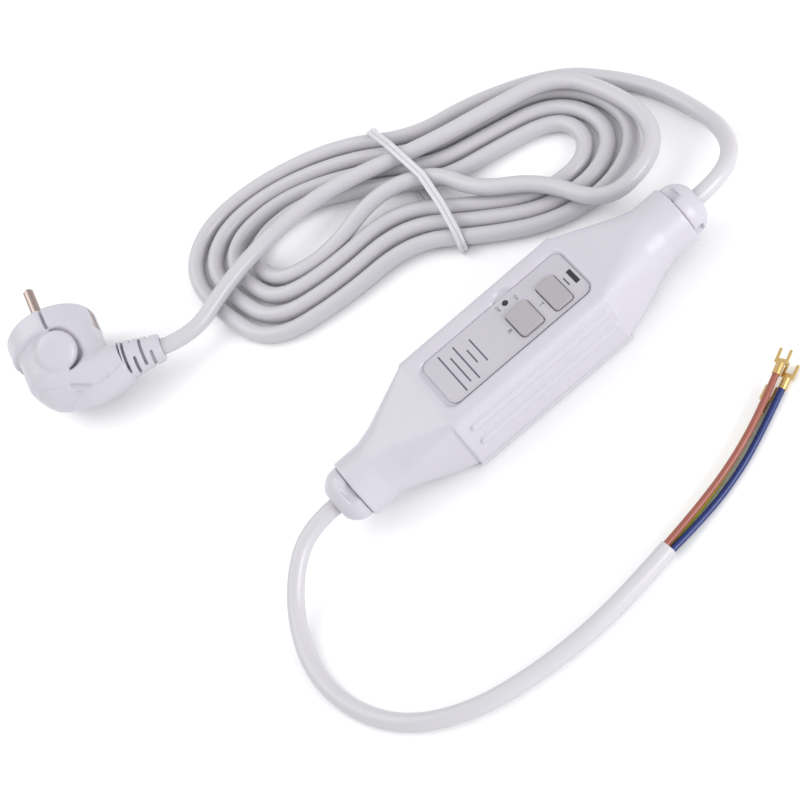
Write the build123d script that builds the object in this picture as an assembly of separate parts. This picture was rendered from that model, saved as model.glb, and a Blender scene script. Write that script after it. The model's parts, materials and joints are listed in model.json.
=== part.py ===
from build123d import *
import math
import os

# All sizes in millimetres. X runs along the housing toward the supply cord, Y away from the viewer,
# Z up. The origin is the middle of the housing's underside.

# Housing
BODY_W = 44.0
BODY_H = 35.0
AXIS_Z = BODY_H / 2
BODY_CORNER = 4.5
MID_X = 40.0
SIDE_STEP = 1.7
APEX_X = 65.0
APEX_SIZE = (30.0, 28.6, 14.1)
TAPER_X = 74.0
COLLAR_X = 85.5
COLLAR_R = 13.25
COLLAR_PROFILE_R = 12.8
WALL = 2.4
ROOF_IN_Z = BODY_H - 3.2
FLOOR_IN_Z = 3.2
MIN_CORNER = 0.8
CORNER_STEPS = 4
CAVITY_X = 62.0
CORD_HOLE_R = 4.5
CORD_HOLE_X = (60.0, 70.0)
SEAT_R = 9.3
SEAT_X = (68.0, 86.0)
SPLIT_Z = 5.0
COVER_X = 58.0
COVER_END_X = 54.0
GASKET_IN = 0.8
GASKET_W = 0.9
GASKET_H = 0.7
RIB_X = (-34.0, 38.0)
RIB_PROUD = 0.7
RIB_W = 2.6
RIB_Z = (AXIS_Z - 0.5, AXIS_Z + 11.1)
OVERSHOOT = 1.0

# Recess, fascia and buttons
RECESS_X = (-33.5, 38.5)
RECESS_Y = (-13.2, 13.2)
RECESS_R = 4.0
RECESS_Z = BODY_H - 1.8
FASCIA_Z = (RECESS_Z, RECESS_Z + 0.8)
FASCIA_GAP = 0.15
BUTTON_GAP = 0.3
BUTTON_EDGE = 0.5
BUTTON_CORNER = 1.6
TEST_SIZE = (9.0, 16.2)
TEST_XY = (26.0, -2.6)
TEST_TOP_Z = BODY_H + 0.2
RESET_SIZE = (11.0, 14.5)
RESET_XY = (10.5, -2.75)
RESET_TOP_Z = BODY_H + 0.5
FLANGE_Z = (ROOF_IN_Z - 1.8, ROOF_IN_Z - 0.3)
FLANGE_MORE = 0.9
STEM_R = 1.6
TEST_STEM_Z = 19.6
RESET_STEM_Z = 13.4
LAMP_WINDOW = (2.0, 7.5)
LAMP_WINDOW_XY = (36.0, -2.05)
WINDOW_Z = (ROOF_IN_Z, FASCIA_Z[1] + 0.1)
DOT_R = 1.3
DOT_XY = (9.0, 9.8)
WINDOW_FIT = 0.05

# Glands and cord ends
CAP_BASE_R = 12.0
CAP_SHOULDER_X = 87.6
CAP_END_X = 95.5
CAP_END_R = 6.2
CAP_DOME = ((90.4, 11.4), (93.4, 9.4))
CAP_BORE_R = 4.05
SPIGOT_R = 9.15
SPIGOT_X = 74.0
SPANNER_R = 6.0
SPANNER_AT = 16.4
SPANNER_X = (85.5, 89.2)
SPANNER_COUNT = 3
SEAL_X = (68.0, 74.0)
SEAL_R = 9.15
SEAL_BORE_R = 3.8
CORD_D = 7.4
CORD_IN_X = 47.5
CRADLE_X = (49.0, 56.0)
CRADLE_Y = 9.0
CRADLE_TOP_Z = AXIS_Z + 14.5
CRADLE_GROOVE_R = 3.8
CLAMP_X = (50.0, 55.0)
CLAMP_Z = (AXIS_Z - 6.9, AXIS_Z - 0.5)
CLAMP_SCREW_Y = 6.5
CLAMP_SCREW_X = 52.5

# Screws: shaft radius, head radius, head height, clearance round the shaft
SCREW_R = 1.4
SCREW_HEAD_R = 2.5
SCREW_HEAD_H = 1.6
SCREW_FIT = 0.05
CLAMP_SCREW_TOP = AXIS_Z + 6.5
BOARD_SCREW_TOP = 16.0
COVER_SCREW_TOP = 14.0
COVER_SCREW_XY = (45.0, 11.0)
COVER_SCREW_HEAD_Z = 2.6
COVER_BOSS_R = 3.6
BOSS_TOP_Z = BODY_H - 2.0

# Board and the parts on it
BOARD_X = (-37.8, 38.0)
BOARD_Y = (4.5 - BODY_W / 2, BODY_W / 2 - 4.5)
BOARD_Z = (8.0, 9.6)
POST_XY = (31.0, BODY_W / 2 - 8.1)
POST_R = 2.2
POST_TOP_Z = ROOF_IN_Z + 0.4
TERMINAL_W = 5.5
POLE_Y = 4.5
SUPPLY_TERMINAL_X = (29.0, 34.0)
LOAD_TERMINAL_X = (-37.5, -32.5)
TERMINAL_Z = (BOARD_Z[1], 19.0)
TERMINAL_SCREW_R = 1.5
TERMINAL_SCREW_H = 1.4
STRIP_T = 0.8
CORE_X = (-25.0, -18.0)
CORE_R = (ROOF_IN_Z - 13.8) / 2
CORE_Z = BOARD_Z[1] + CORE_R + 0.3
CORE_HOLE_R = 4.8
WINDING_X = (-25.7, -17.3)
WINDING_R = CORE_R + 0.6
WINDING_HOLE_R = 4.3
WINDING_ARC = 110.0
COIL_XY = (-9.5, -0.315 * BODY_W)
COIL_R = 4.0
COIL_HOLE_R = 1.9
COIL_Z = (11.0, ROOF_IN_Z - 10.0)
YOKE_HALF = (4.6, 4.6)
YOKE_T = 1.0
YOKE_HOLE_R = 1.9
PLUNGER_R = 1.5
PLUNGER_Z = (15.0, ROOF_IN_Z - 3.2)
PLUNGER_HEAD_R = 3.2
PLUNGER_HEAD_H = 1.2
FINGER_X = (-9.5, 0.6)
FINGER_Y = (COIL_XY[1] - 1.0, COIL_XY[1] + 1.0)
FRAME_X = (-1.0, 20.0)
FRAME_HALF_Y = 12.5
FRAME_WALL = 1.5
FRAME_TOP_Z = (0.4 * ROOF_IN_Z + 9.28, 0.4 * ROOF_IN_Z + 11.28)
FRAME_EXT_X = 30.5
FRAME_EXT_Y = 8.5
FRAME_HOLE_R = 2.0
CARRIAGE_X = (3.0, 16.0)
CARRIAGE_Y = 10.4
CARRIAGE_Z = (11.4, 14.4)
CARRIAGE_HOLE_R = 2.2
BRIDGE_X = (1.5, 17.5)
BRIDGE_W = 3.0
BRIDGE_Y = 6.5
RIVET_R = 1.3
RIVET_H = 0.8
RIVET_X = (2.9, 16.1)
CONTACT_GAP = 1.8
LEFT_LEG_X = -3.5
LAMP_XY = (36.0, 0.0)
LAMP_R = 1.6
LAMP_EDGE = 0.9
LAMP_TOP_Z = ROOF_IN_Z - 0.6
FLAG_R = 1.2
FLAG_HEAD_R = 1.9
FLAG_HEAD_H = 0.8
FLAG_TOP_Z = ROOF_IN_Z - 1.9
VARISTOR_XZ = (-9.5, 15.6)
VARISTOR_R = 4.8
VARISTOR_Y = (9.4, 12.2)
VARISTOR_LEG_R = 0.4
VARISTOR_LEG_X = 2.5
CAPACITOR_X = (21.5, 27.5)
CAPACITOR_Y = (9.6, 16.0)
CAPACITOR_Z = (BOARD_Z[1], 19.5)
CHIP_X = (-15.5, -9.0)
CHIP_Y = (-3.0, 3.0)
CHIP_Z = (BOARD_Z[1], 11.2)
TEST_LEAF_X = (22.8, 27.6)
TEST_LEAF_Y = (-4.2, -1.0)
TEST_LEAF_Z = (17.6, 18.0)
TEST_POST_X = (22.8, 24.0)
SPRING_WIRE = 0.35
SPRING_R = 2.5
SPRING_TURNS = 3
SPRING_END = 0.5
SPRING_BEND = 0.96
PLUNGER_SPRING_R = 2.4
LEAD_R = 1.2
LEAD_Z = 15.1
CORD_LEAD_YZ = (1.82, AXIS_Z - 1.05)
EARTH_LEAD_Z = AXIS_Z + 2.1
SUPPLY_LEAD_X = (43.5, 38.5)
LOAD_LEAD_X = (-45.0, -40.4)
RING_LEAD_X = (-7.0, -14.5, -27.0, -30.2)
RING_LEAD_Y = 1.68
EARTH_Y = BODY_W / 2 - 4.4
EARTH_TURN = ((43.8, 0.0, EARTH_LEAD_Z), (39.5, 8.0, 22.5), (36.5, EARTH_Y - 3.1, 24.0),
              (33.0, EARTH_Y, 24.0))

# Cords; a tube's section has this many sides, and so has a hidden shaft or a drilled hole
RUN_SHARE = 0.45
CORE_D = 2.8
CORD_SIDES = 8
LEAD_SIDES = 6
WIRE_SIDES = 4
PEG_SIDES = 8

# Plug, in its own frame: X toward its cord, Y up, Z from the face to the rear
PLUG_AT = (-147.7, 175.8, 21.9)
PLUG_AZIMUTH = 78.0
PLUG_TILT = 8.0
BAND_R = 20.3
BAND_L = 12.0
BAND_EDGE = 2.2
REAR_SECTIONS = ((12.0, 19.4, 19.4), (26.0, 18.0, 15.0), (37.0, 11.0, 8.0))
NECK_Z = 34.8
NECK_PROFILE = ((-6.0, 0.1), (-4.6, 5.2), (-1.0, 9.2), (4.0, 11.6), (9.0, 12.2), (18.0, 10.9), (27.0, 8.8))
PIN_R = 2.4
PIN_L = 19.3
PIN_APART = 19.0
PIN_IN = 8.0
PIN_TIP = 1.2
PIN_ROOT_R = 2.0
PIN_NECK = 0.3
GROOVE_W = 3.2
GROOVE_DEEP = 1.0
GROOVE_SHARE = 0.8
EARTH_STRIP_W = 7.0
EARTH_STRIP_T = 0.8
EARTH_STRIP_Z = (1.6, 11.0)
FLAT_E = 19.3
CARRIER_SIZE = (12.0, 30.0, 6.0)
BOSS_AT = (4.0, 15.4, 22.0)
BOSS_TILT = 22.0
BOSS_SIZE = (8.5, 3.4, 8.5)
BOOT_FROM = (27.0, 0.0, 34.8)
BOOT_TO = (43.5, -3.0, 36.5)
BOOT_R = (8.0, 6.3)
BOOT_CORE_R = 5.2
BOOT_RINGS = 5
BOOT_RING_SHARE = 0.62

# Fork terminals
FORK_T = 0.8
FORK_BARREL_R = 1.7
FORK_BARREL_L = 5.0
FORK_W = 5.4
FORK_SLOT = 3.2
FORK_SLOT_L = 4.4
FORK_L = 6.4

# Hank: heading in degrees at each node; the turns are a first node and its step per turn.
FLOOR_Z = CORD_D / 2
WAIST_Z = 4.9
OVER_Z = 11.75
HANK_IN = ((76.62, 123.93, FLOOR_Z, 150.0), (20.74, 149.26, WAIST_Z, 134.4))
HANK_TURN = (
    ((-50.49, 180.2, FLOOR_Z, 177.53), (2.87, -8.83)),
    ((-83.48, 150.32, FLOOR_Z, -90.0), (8.83, -3.19)),
    ((-58.48, 97.12, FLOOR_Z, -11.9), (3.94, 8.83)),
    ((15.03, 77.84, WAIST_Z, -45.67), (0.84, 10.54)),
    ((68.05, 46.06, FLOOR_Z, -7.31), (0.05, 9.07)),
    ((103.72, 72.22, FLOOR_Z, 90.0), (-9.07, 3.67)),
    ((74.77, 114.86, FLOOR_Z, 162.54), (-1.85, -9.07)),
    ((19.90, 138.72, WAIST_Z, 134.4), (-0.84, -10.54)),
)
HANK_TURNS = 3
HANK_OUT = (
    (-40.82, 152.86, FLOOR_Z, 177.53),
    (-57.02, 137.37, FLOOR_Z, -90.0),
    (-44.54, 122.07, FLOOR_Z, -11.9),
    (17.81, 112.61, 12.5, -28.96),
    (44.18, 75.85, 12.4, -40.38),
    (87.0, 34.0, OVER_Z, 6.0),
    (107.5, 58.0, OVER_Z, 92.0),
    (80.0, 109.5, 11.9, 162.0),
    (19.04, 127.96, 12.95, 157.01),
)
SAMPLES_PER_EDGE = 16
GAP_SKIP = 26.0
TIE_WAIST = (18.0, 115.0)
TIE_TILT = 85.43
TIE_PATH = ((41.6, 6.2), (38.0, 10.6), (17.5, 17.9), (-8.0, 17.6),
            (-40.4, 10.6), (-45.1, 6.2), (-43.9, 0.62), (40.7, 0.62))
TIE_BEND = 0.9
TIE_WIRE_R = 0.55
TIE_STRANDS = (-1.0, 1.0)

# Free stretches, from the housing outward; each first run is square to the face it leaves.
BODY_END_WAY = ((CAP_END_X, 0, AXIS_Z), (108.0, 0, AXIS_Z), (120.5, 9.0, 14.2), (126.5, 27.0, 8.0),
                (126.0, 48.0, 4.0), (121.5, 70.0, FLOOR_Z), (112.0, 90.0, FLOOR_Z))
PLUG_END_WAY = ((-76.0, 136.5, 11.9), (-50.0, 142.0, 12.1))
HANK_RUNS = (16.4, 28.0)
BOOT_RUN = 15.0
LOAD_WAY = ((-CAP_END_X, 0, AXIS_Z), (-109.5, 0, AXIS_Z), (-125.0, -8.0, 12.5), (-138.0, -23.0, 5.5),
            (-144.5, -46.0, FLOOR_Z), (-140.5, -71.0, FLOOR_Z), (-127.0, -92.0, FLOOR_Z),
            (-104.0, -105.5, FLOOR_Z), (-78.0, -111.0, FLOOR_Z), (-50.0, -112.5, FLOOR_Z),
            (-24.8, -110.0, FLOOR_Z), (-7.0, -107.0, FLOOR_Z))
BROWN_WAY = ((-7.15, -106.1, 5.24), (14.0, -102.5, 5.3), (36.0, -96.3, 5.4), (54.0, -88.3, 5.4),
             (68.3, -80.4, 5.4))
BLUE_WAY = ((-6.71, -108.76, 3.7), (12.0, -105.9, 1.9), (32.0, -100.8, 1.6), (50.0, -93.2, 1.6),
            (66.3, -85.0, 1.75))
EARTH_WAY = ((-7.15, -106.1, 2.16), (10.0, -103.2, 1.6), (26.0, -98.8, 1.6), (41.0, -92.7, 1.6),
             (54.3, -86.3, 1.75))


def span(pair):
    return (pair[0] + pair[1]) / 2, pair[1] - pair[0]


def block(x, y, z):
    """Box from three (low, high) pairs."""
    (cx, lx), (cy, ly), (cz, lz) = span(x), span(y), span(z)
    return Pos(cx, cy, cz) * Box(lx, ly, lz)


def rod(x, y, z, radius):
    """Upright cylinder over the pair z."""
    cz, lz = span(z)
    return Pos(x, y, cz) * Cylinder(radius, lz)


def peg(x, y, z, radius):
    """Upright prism over the pair z, for a shaft or a hole that nothing shows."""
    return Pos(x, y, z[0]) * extrude(RegularPolygon(radius, PEG_SIDES), z[1] - z[0])


def rod_x(x, y, z, radius):
    """Cylinder along X over the pair x."""
    cx, lx = span(x)
    return Pos(cx, y, z) * Rot(0, 90, 0) * Cylinder(radius, lx)


def both_ends(solid):
    return [solid, mirror(solid, about=Plane.YZ)]


def profile(x, width, height, corner):
    """Section of the housing at x: a rectangle with each round corner in short chords."""
    points = []
    for i in range(4 * (CORNER_STEPS + 1)):
        quarter, step = divmod(i, CORNER_STEPS + 1)
        turn = math.radians(90 * (quarter + step / CORNER_STEPS))
        out_y = (width / 2 - corner) * (1 if quarter in (0, 3) else -1)
        out_z = (height / 2 - corner) * (1 if quarter in (0, 1) else -1)
        points.append((out_y + corner * math.cos(turn), AXIS_Z + out_z + corner * math.sin(turn)))
    return Plane.YZ.offset(x) * make_face(Polyline(*points, close=True))


def skin(inset, end_x=TAPER_X):
    """Housing without its collars, every face moved in by inset."""
    def size(width, height, corner):
        return width - 2 * inset, height - 2 * inset, max(corner - inset, MIN_CORNER)
    middle = extrude(profile(-MID_X, *size(BODY_W, BODY_H, BODY_CORNER)), 2 * MID_X)
    sections = [
        profile(MID_X, *size(BODY_W - 2 * SIDE_STEP, BODY_H, BODY_CORNER)),
        profile(APEX_X, *size(*APEX_SIZE)),
        profile(TAPER_X, *size(2 * COLLAR_R, 2 * COLLAR_R, COLLAR_PROFILE_R)),
    ]
    taper = loft(sections[:2], ruled=True) + loft(sections[1:], ruled=True)
    body = middle + taper + mirror(taper, about=Plane.YZ)
    return body & block((-end_x, end_x), (-BODY_W, BODY_W), (0, BODY_H))


def button_hole(size, xy, z, gap):
    plate = RectangleRounded(size[0] + 2 * gap, size[1] + 2 * gap, BUTTON_CORNER + gap)
    return Pos(xy[0], xy[1], z[0]) * extrude(plate, z[1] - z[0])


def windows(z, gap):
    lamp = extrude(Rectangle(LAMP_WINDOW[0] + 2 * gap, LAMP_WINDOW[1] + 2 * gap), z[1] - z[0])
    return Pos(*LAMP_WINDOW_XY, z[0]) * lamp, rod(*DOT_XY, z, DOT_R + gap)


def recess(z, inset):
    (cx, lx), (cy, ly) = span(RECESS_X), span(RECESS_Y)
    plate = RectangleRounded(lx - 2 * inset, ly - 2 * inset, RECESS_R - inset)
    return Pos(cx, cy, z[0]) * extrude(plate, z[1] - z[0])


def four(x, y, make):
    return [make(sx * x, sy * y) for sx in (-1, 1) for sy in (-1, 1)]


def side_rib(z, side):
    (cx, lx) = span(RIB_X)
    bar = extrude(SlotOverall(lx, RIB_W), 2 * RIB_PROUD)
    return Pos(cx, side * (BODY_W / 2 + RIB_PROUD), z) * Rot(90 * side, 0, 0) * bar


def upper_housing():
    body = skin(0)
    for collar in both_ends(rod_x((TAPER_X, COLLAR_X), 0, AXIS_Z, COLLAR_R)):
        body += collar
    body -= block((-COVER_X, COVER_X), (-BODY_W, BODY_W), (-OVERSHOOT, SPLIT_Z))
    body -= skin(WALL, CAVITY_X) & block((-CAVITY_X, CAVITY_X), (-BODY_W, BODY_W), (0, ROOF_IN_Z))
    for tool in both_ends(rod_x(CORD_HOLE_X, 0, AXIS_Z, CORD_HOLE_R) + rod_x(SEAT_X, 0, AXIS_Z, SEAT_R)):
        body -= tool
    body -= recess((RECESS_Z, BODY_H), 0)
    for size, xy in ((TEST_SIZE, TEST_XY), (RESET_SIZE, RESET_XY)):
        body -= button_hole(size, xy, (ROOF_IN_Z, RECESS_Z), BUTTON_GAP)
    for tool in windows((ROOF_IN_Z - OVERSHOOT, RECESS_Z + OVERSHOOT), WINDOW_FIT):
        body -= tool
    for z in RIB_Z:
        for side in (-1, 1):
            body += side_rib(z, side)
    for post in four(*POST_XY, lambda x, y: peg(x, y, (BOARD_Z[1], POST_TOP_Z), POST_R)):
        body += post
    for boss in four(*COVER_SCREW_XY, lambda x, y: peg(x, y, (SPLIT_Z, BOSS_TOP_Z), COVER_BOSS_R)):
        body += boss
    cradle = block(CRADLE_X, (-CRADLE_Y, CRADLE_Y), (AXIS_Z, CRADLE_TOP_Z))
    cradle -= rod_x(CRADLE_X, 0, AXIS_Z, CRADLE_GROOVE_R)
    for piece in both_ends(cradle):
        body += piece
    drill = SCREW_R + SCREW_FIT
    for hole in four(*POST_XY, lambda x, y: peg(x, y, (BOARD_Z[0], BOARD_SCREW_TOP), drill)):
        body -= hole
    for hole in four(*COVER_SCREW_XY, lambda x, y: peg(x, y, (0, COVER_SCREW_TOP), drill)):
        body -= hole
    clamp_drill_z = (CLAMP_Z[1], CLAMP_SCREW_TOP)
    for hole in four(CLAMP_SCREW_X, CLAMP_SCREW_Y, lambda x, y: peg(x, y, clamp_drill_z, drill)):
        body -= hole
    return body


def gasket_ring():
    """Flat ring that follows the middle of the cover's wall."""
    outer = skin(GASKET_IN, COVER_X - GASKET_IN)
    inner = skin(GASKET_IN + GASKET_W, COVER_X - GASKET_IN - GASKET_W)
    narrow = BODY_W / 2 - SIDE_STEP - GASKET_IN - GASKET_W
    for low in (-MID_X, MID_X - GASKET_W):
        bar = block((low, low + GASKET_W), (-BODY_W, BODY_W), (0, BODY_H))
        inner = inner - bar + (inner & bar & block((-MID_X, MID_X), (-narrow, narrow), (0, BODY_H)))
    return (outer - inner) & block((-COVER_X, COVER_X), (-BODY_W, BODY_W), (SPLIT_Z - GASKET_H, SPLIT_Z))


def lower_cover():
    inside = block((-COVER_END_X, COVER_END_X), (-BODY_W, BODY_W), (FLOOR_IN_Z, SPLIT_Z))
    inside &= skin(WALL, COVER_END_X)
    cover = skin(0) & block((-COVER_X, COVER_X), (-BODY_W, BODY_W), (0, SPLIT_Z))
    cover -= inside
    for boss in four(*COVER_SCREW_XY, lambda x, y: peg(x, y, (COVER_SCREW_HEAD_Z, SPLIT_Z), COVER_BOSS_R)):
        cover += boss
    cover -= gasket_ring()
    for hole in four(*COVER_SCREW_XY, lambda x, y: peg(x, y, (0, SPLIT_Z), SCREW_R + SCREW_FIT)):
        cover -= hole
    head_z = (0, COVER_SCREW_HEAD_Z)
    for hole in four(*COVER_SCREW_XY, lambda x, y: peg(x, y, head_z, SCREW_HEAD_R + SCREW_FIT)):
        cover -= hole
    return cover


def screw(x, y, head_z, top):
    """Screw from below: its head starts at head_z, its shaft ends at top."""
    head = peg(x, y, (head_z, head_z + SCREW_HEAD_H), SCREW_HEAD_R)
    return head + peg(x, y, (head_z + SCREW_HEAD_H, top), SCREW_R)


def gland_cap():
    outline = Polyline((SPIGOT_X, 0), (SPIGOT_X, SPIGOT_R), (COLLAR_X, SPIGOT_R), (COLLAR_X, CAP_BASE_R),
                       (CAP_SHOULDER_X, CAP_BASE_R))
    dome = Polyline((CAP_SHOULDER_X, CAP_BASE_R), *CAP_DOME, (CAP_END_X, CAP_END_R))
    close = Polyline((CAP_END_X, CAP_END_R), (CAP_END_X, 0), (SPIGOT_X, 0))
    cap = Pos(0, 0, AXIS_Z) * revolve(make_face(outline + dome + close), Axis.X)
    for i in range(SPANNER_COUNT):
        a = math.radians(270 + 360 / SPANNER_COUNT * i)
        cap -= rod_x(SPANNER_X, SPANNER_AT * math.cos(a), AXIS_Z - SPANNER_AT * math.sin(a), SPANNER_R)
    return cap - rod_x((SPIGOT_X, CAP_END_X), 0, AXIS_Z, CAP_BORE_R)


def gland_seal():
    ring = rod_x(SEAL_X, 0, AXIS_Z, SEAL_R)
    return ring - rod_x(SEAL_X, 0, AXIS_Z, SEAL_BORE_R)


def cord_clamp():
    bar = block(CLAMP_X, (-CRADLE_Y, CRADLE_Y), CLAMP_Z) - rod_x(CLAMP_X, 0, AXIS_Z, CRADLE_GROOVE_R)
    for side in (-1, 1):
        bar -= peg(CLAMP_SCREW_X, side * CLAMP_SCREW_Y, CLAMP_Z, SCREW_R + SCREW_FIT)
    return bar


def fascia():
    panel = recess(FASCIA_Z, FASCIA_GAP)
    for size, xy in ((TEST_SIZE, TEST_XY), (RESET_SIZE, RESET_XY)):
        panel -= button_hole(size, xy, FASCIA_Z, BUTTON_GAP)
    for tool in windows(FASCIA_Z, WINDOW_FIT):
        panel -= tool
    return panel


def button(size, xy, top_z, stem_z):
    cap = extrude(RectangleRounded(*size, BUTTON_CORNER), top_z - FLANGE_Z[1])
    cap = chamfer(cap.faces().sort_by(Axis.Z)[-1].edges(), BUTTON_EDGE)
    flange = extrude(RectangleRounded(size[0] + 2 * FLANGE_MORE, size[1] + 2 * FLANGE_MORE, BUTTON_CORNER),
                     FLANGE_Z[1] - FLANGE_Z[0])
    body = Pos(*xy, FLANGE_Z[1]) * cap + Pos(*xy, FLANGE_Z[0]) * flange
    return body + peg(*xy, (stem_z, FLANGE_Z[0]), STEM_R)


def spring(x, y, z, radius):
    """Coil spring: one wire, four quarter turns to a turn, that climbs from seat to seat."""
    low, high = z[0] + SPRING_END, z[1] - SPRING_END
    corner = math.sqrt(2) * radius
    points = []
    for i in range(4 * SPRING_TURNS + 1):
        turn = math.radians(90 * i + 45)
        climb = (high - low) * i / (4 * SPRING_TURNS)
        points.append((x + corner * math.cos(turn), y + corner * math.sin(turn), low + climb))
    line = FilletPolyline(*points, radius=SPRING_BEND * radius)
    return sweep(Plane(line @ 0, z_dir=line % 0) * RegularPolygon(SPRING_WIRE, WIRE_SIDES), path=line)


def circuit_board():
    board = block(BOARD_X, BOARD_Y, BOARD_Z)
    for hole in four(*POST_XY, lambda x, y: peg(x, y, BOARD_Z, SCREW_R + SCREW_FIT)):
        board -= hole
    return board


def terminals(x):
    """Two brass blocks with a screw on each."""
    cx, lx = span(x)
    blocks = []
    for side in (-1, 1):
        y = side * POLE_Y
        body = block(x, (y - TERMINAL_W / 2, y + TERMINAL_W / 2), TERMINAL_Z)
        blocks.append(body + peg(cx, y, (TERMINAL_Z[1], TERMINAL_Z[1] + TERMINAL_SCREW_H), TERMINAL_SCREW_R))
    return blocks


def toroid(x, radius, hole):
    return rod_x(x, 0, CORE_Z, radius) - rod_x(x, 0, CORE_Z, hole)


def toroid_winding():
    """Wound part of the ring: a thicker arc with the core taken out."""
    ring = toroid(WINDING_X, WINDING_R, WINDING_HOLE_R) - toroid(CORE_X, CORE_R, CORE_HOLE_R)
    (cx, lx), reach = span(WINDING_X), 2 * WINDING_R
    half = math.radians(WINDING_ARC / 2)
    wedge = Polyline((0, 0), (-reach * math.sin(half), reach * math.cos(half)), (0, 2 * reach),
                     (reach * math.sin(half), reach * math.cos(half)), (0, 0))
    sector = extrude(Plane.YZ.offset(WINDING_X[0]) * make_face(wedge), lx)
    return ring & (Pos(0, 0, CORE_Z) * sector)


def solenoid_coil():
    return rod(*COIL_XY, COIL_Z, COIL_R) - rod(*COIL_XY, COIL_Z, COIL_HOLE_R)


def solenoid_yoke():
    x, y = COIL_XY
    hx, hy = YOKE_HALF
    low, high = COIL_Z[0] - YOKE_T, COIL_Z[1] + YOKE_T
    frame = block((x - hx - YOKE_T, x + hx + YOKE_T), (y - hy, y + hy), (low, high))
    frame -= block((x - hx, x + hx), (y - hy, y + hy), COIL_Z)
    return frame - peg(x, y, (low, high), YOKE_HOLE_R)


def trip_plunger():
    head_z = (PLUNGER_Z[1] - PLUNGER_HEAD_H, PLUNGER_Z[1])
    head = rod(*COIL_XY, head_z, PLUNGER_HEAD_R) + block(FINGER_X, FINGER_Y, head_z)
    return rod(*COIL_XY, PLUNGER_Z, PLUNGER_R) + head


def contact_frame():
    frame = block(FRAME_X, (-FRAME_HALF_Y, FRAME_HALF_Y), FRAME_TOP_Z)
    frame += block((FRAME_X[0], FRAME_EXT_X), (-FRAME_EXT_Y, FRAME_EXT_Y), FRAME_TOP_Z)
    for side in (-1, 1):
        y = sorted((side * FRAME_HALF_Y, side * (FRAME_HALF_Y - FRAME_WALL)))
        frame += block(FRAME_X, y, (BOARD_Z[1], FRAME_TOP_Z[0]))
    for xy in (TEST_XY, RESET_XY, DOT_XY):
        frame -= peg(*xy, FRAME_TOP_Z, FRAME_HOLE_R)
    return frame


def contact_carriage():
    carriage = block(CARRIAGE_X, (-CARRIAGE_Y, CARRIAGE_Y), CARRIAGE_Z)
    return carriage - peg(*RESET_XY, CARRIAGE_Z, CARRIAGE_HOLE_R)


def moving_contacts():
    bars = []
    top = CARRIAGE_Z[1] + STRIP_T
    for side in (-1, 1):
        y = side * BRIDGE_Y
        bar = block(BRIDGE_X, (y - BRIDGE_W / 2, y + BRIDGE_W / 2), (CARRIAGE_Z[1], top))
        for x in RIVET_X:
            bar += peg(x, y, (top, top + RIVET_H), RIVET_R)
        bars.append(bar)
    return bars


def fixed_contacts():
    """Four brass strips with a rivet below: two go down to the board, two reach the supply terminals."""
    strips = []
    tip = CARRIAGE_Z[1] + STRIP_T + RIVET_H + CONTACT_GAP
    strip_z = (tip + RIVET_H, tip + RIVET_H + STRIP_T)
    for side in (-1, 1):
        y = side * BRIDGE_Y
        width = (y - BRIDGE_W / 2, y + BRIDGE_W / 2)
        left = block((LEFT_LEG_X, RIVET_X[0] + RIVET_R), width, strip_z)
        left += block((LEFT_LEG_X, LEFT_LEG_X + STRIP_T), width, (BOARD_Z[1], strip_z[1]))
        right = block((RIVET_X[1] - RIVET_R, SUPPLY_TERMINAL_X[0]), width, strip_z)
        for strip, x in ((left, RIVET_X[0]), (right, RIVET_X[1])):
            strips.append(strip + peg(x, y, (tip, tip + RIVET_H), RIVET_R))
    return strips


def status_flag():
    head = rod(*DOT_XY, (FLAG_TOP_Z - FLAG_HEAD_H, FLAG_TOP_Z), FLAG_HEAD_R)
    return peg(*DOT_XY, (CARRIAGE_Z[1], FLAG_TOP_Z - FLAG_HEAD_H), FLAG_R) + head


def status_lamp():
    lamp = rod(*LAMP_XY, (BOARD_Z[1], LAMP_TOP_Z), LAMP_R)
    return chamfer(lamp.faces().sort_by(Axis.Z)[-1].edges(), LAMP_EDGE)


def varistor():
    x, z = VARISTOR_XZ
    cy, ly = span(VARISTOR_Y)
    disc = Pos(x, cy, z) * Rot(90, 0, 0) * Cylinder(VARISTOR_R, ly)
    for side in (-1, 1):
        disc += peg(x + side * VARISTOR_LEG_X, cy, (BOARD_Z[1], z), VARISTOR_LEG_R)
    return disc


def test_contacts():
    leaf = block(TEST_LEAF_X, TEST_LEAF_Y, TEST_LEAF_Z)
    return leaf + block(TEST_POST_X, TEST_LEAF_Y, (BOARD_Z[1], TEST_LEAF_Z[0]))


def tube_along(points, diameter, sides):
    """Tube along straight runs with a tangent arc in every corner."""
    at = [Vector(*p) for p in points]
    bend = []
    for a, b, c in zip(at, at[1:], at[2:]):
        half_turn = math.radians((b - a).get_angle(c - b)) / 2
        bend.append(RUN_SHARE * min((b - a).length, (c - b).length) / math.tan(half_turn))
    line = FilletPolyline(*points, radius=bend)
    section = RegularPolygon(diameter / 2, sides)
    return sweep(Plane(line @ 0, z_dir=line % 0) * section, path=line), bend, line.length * section.area


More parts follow.
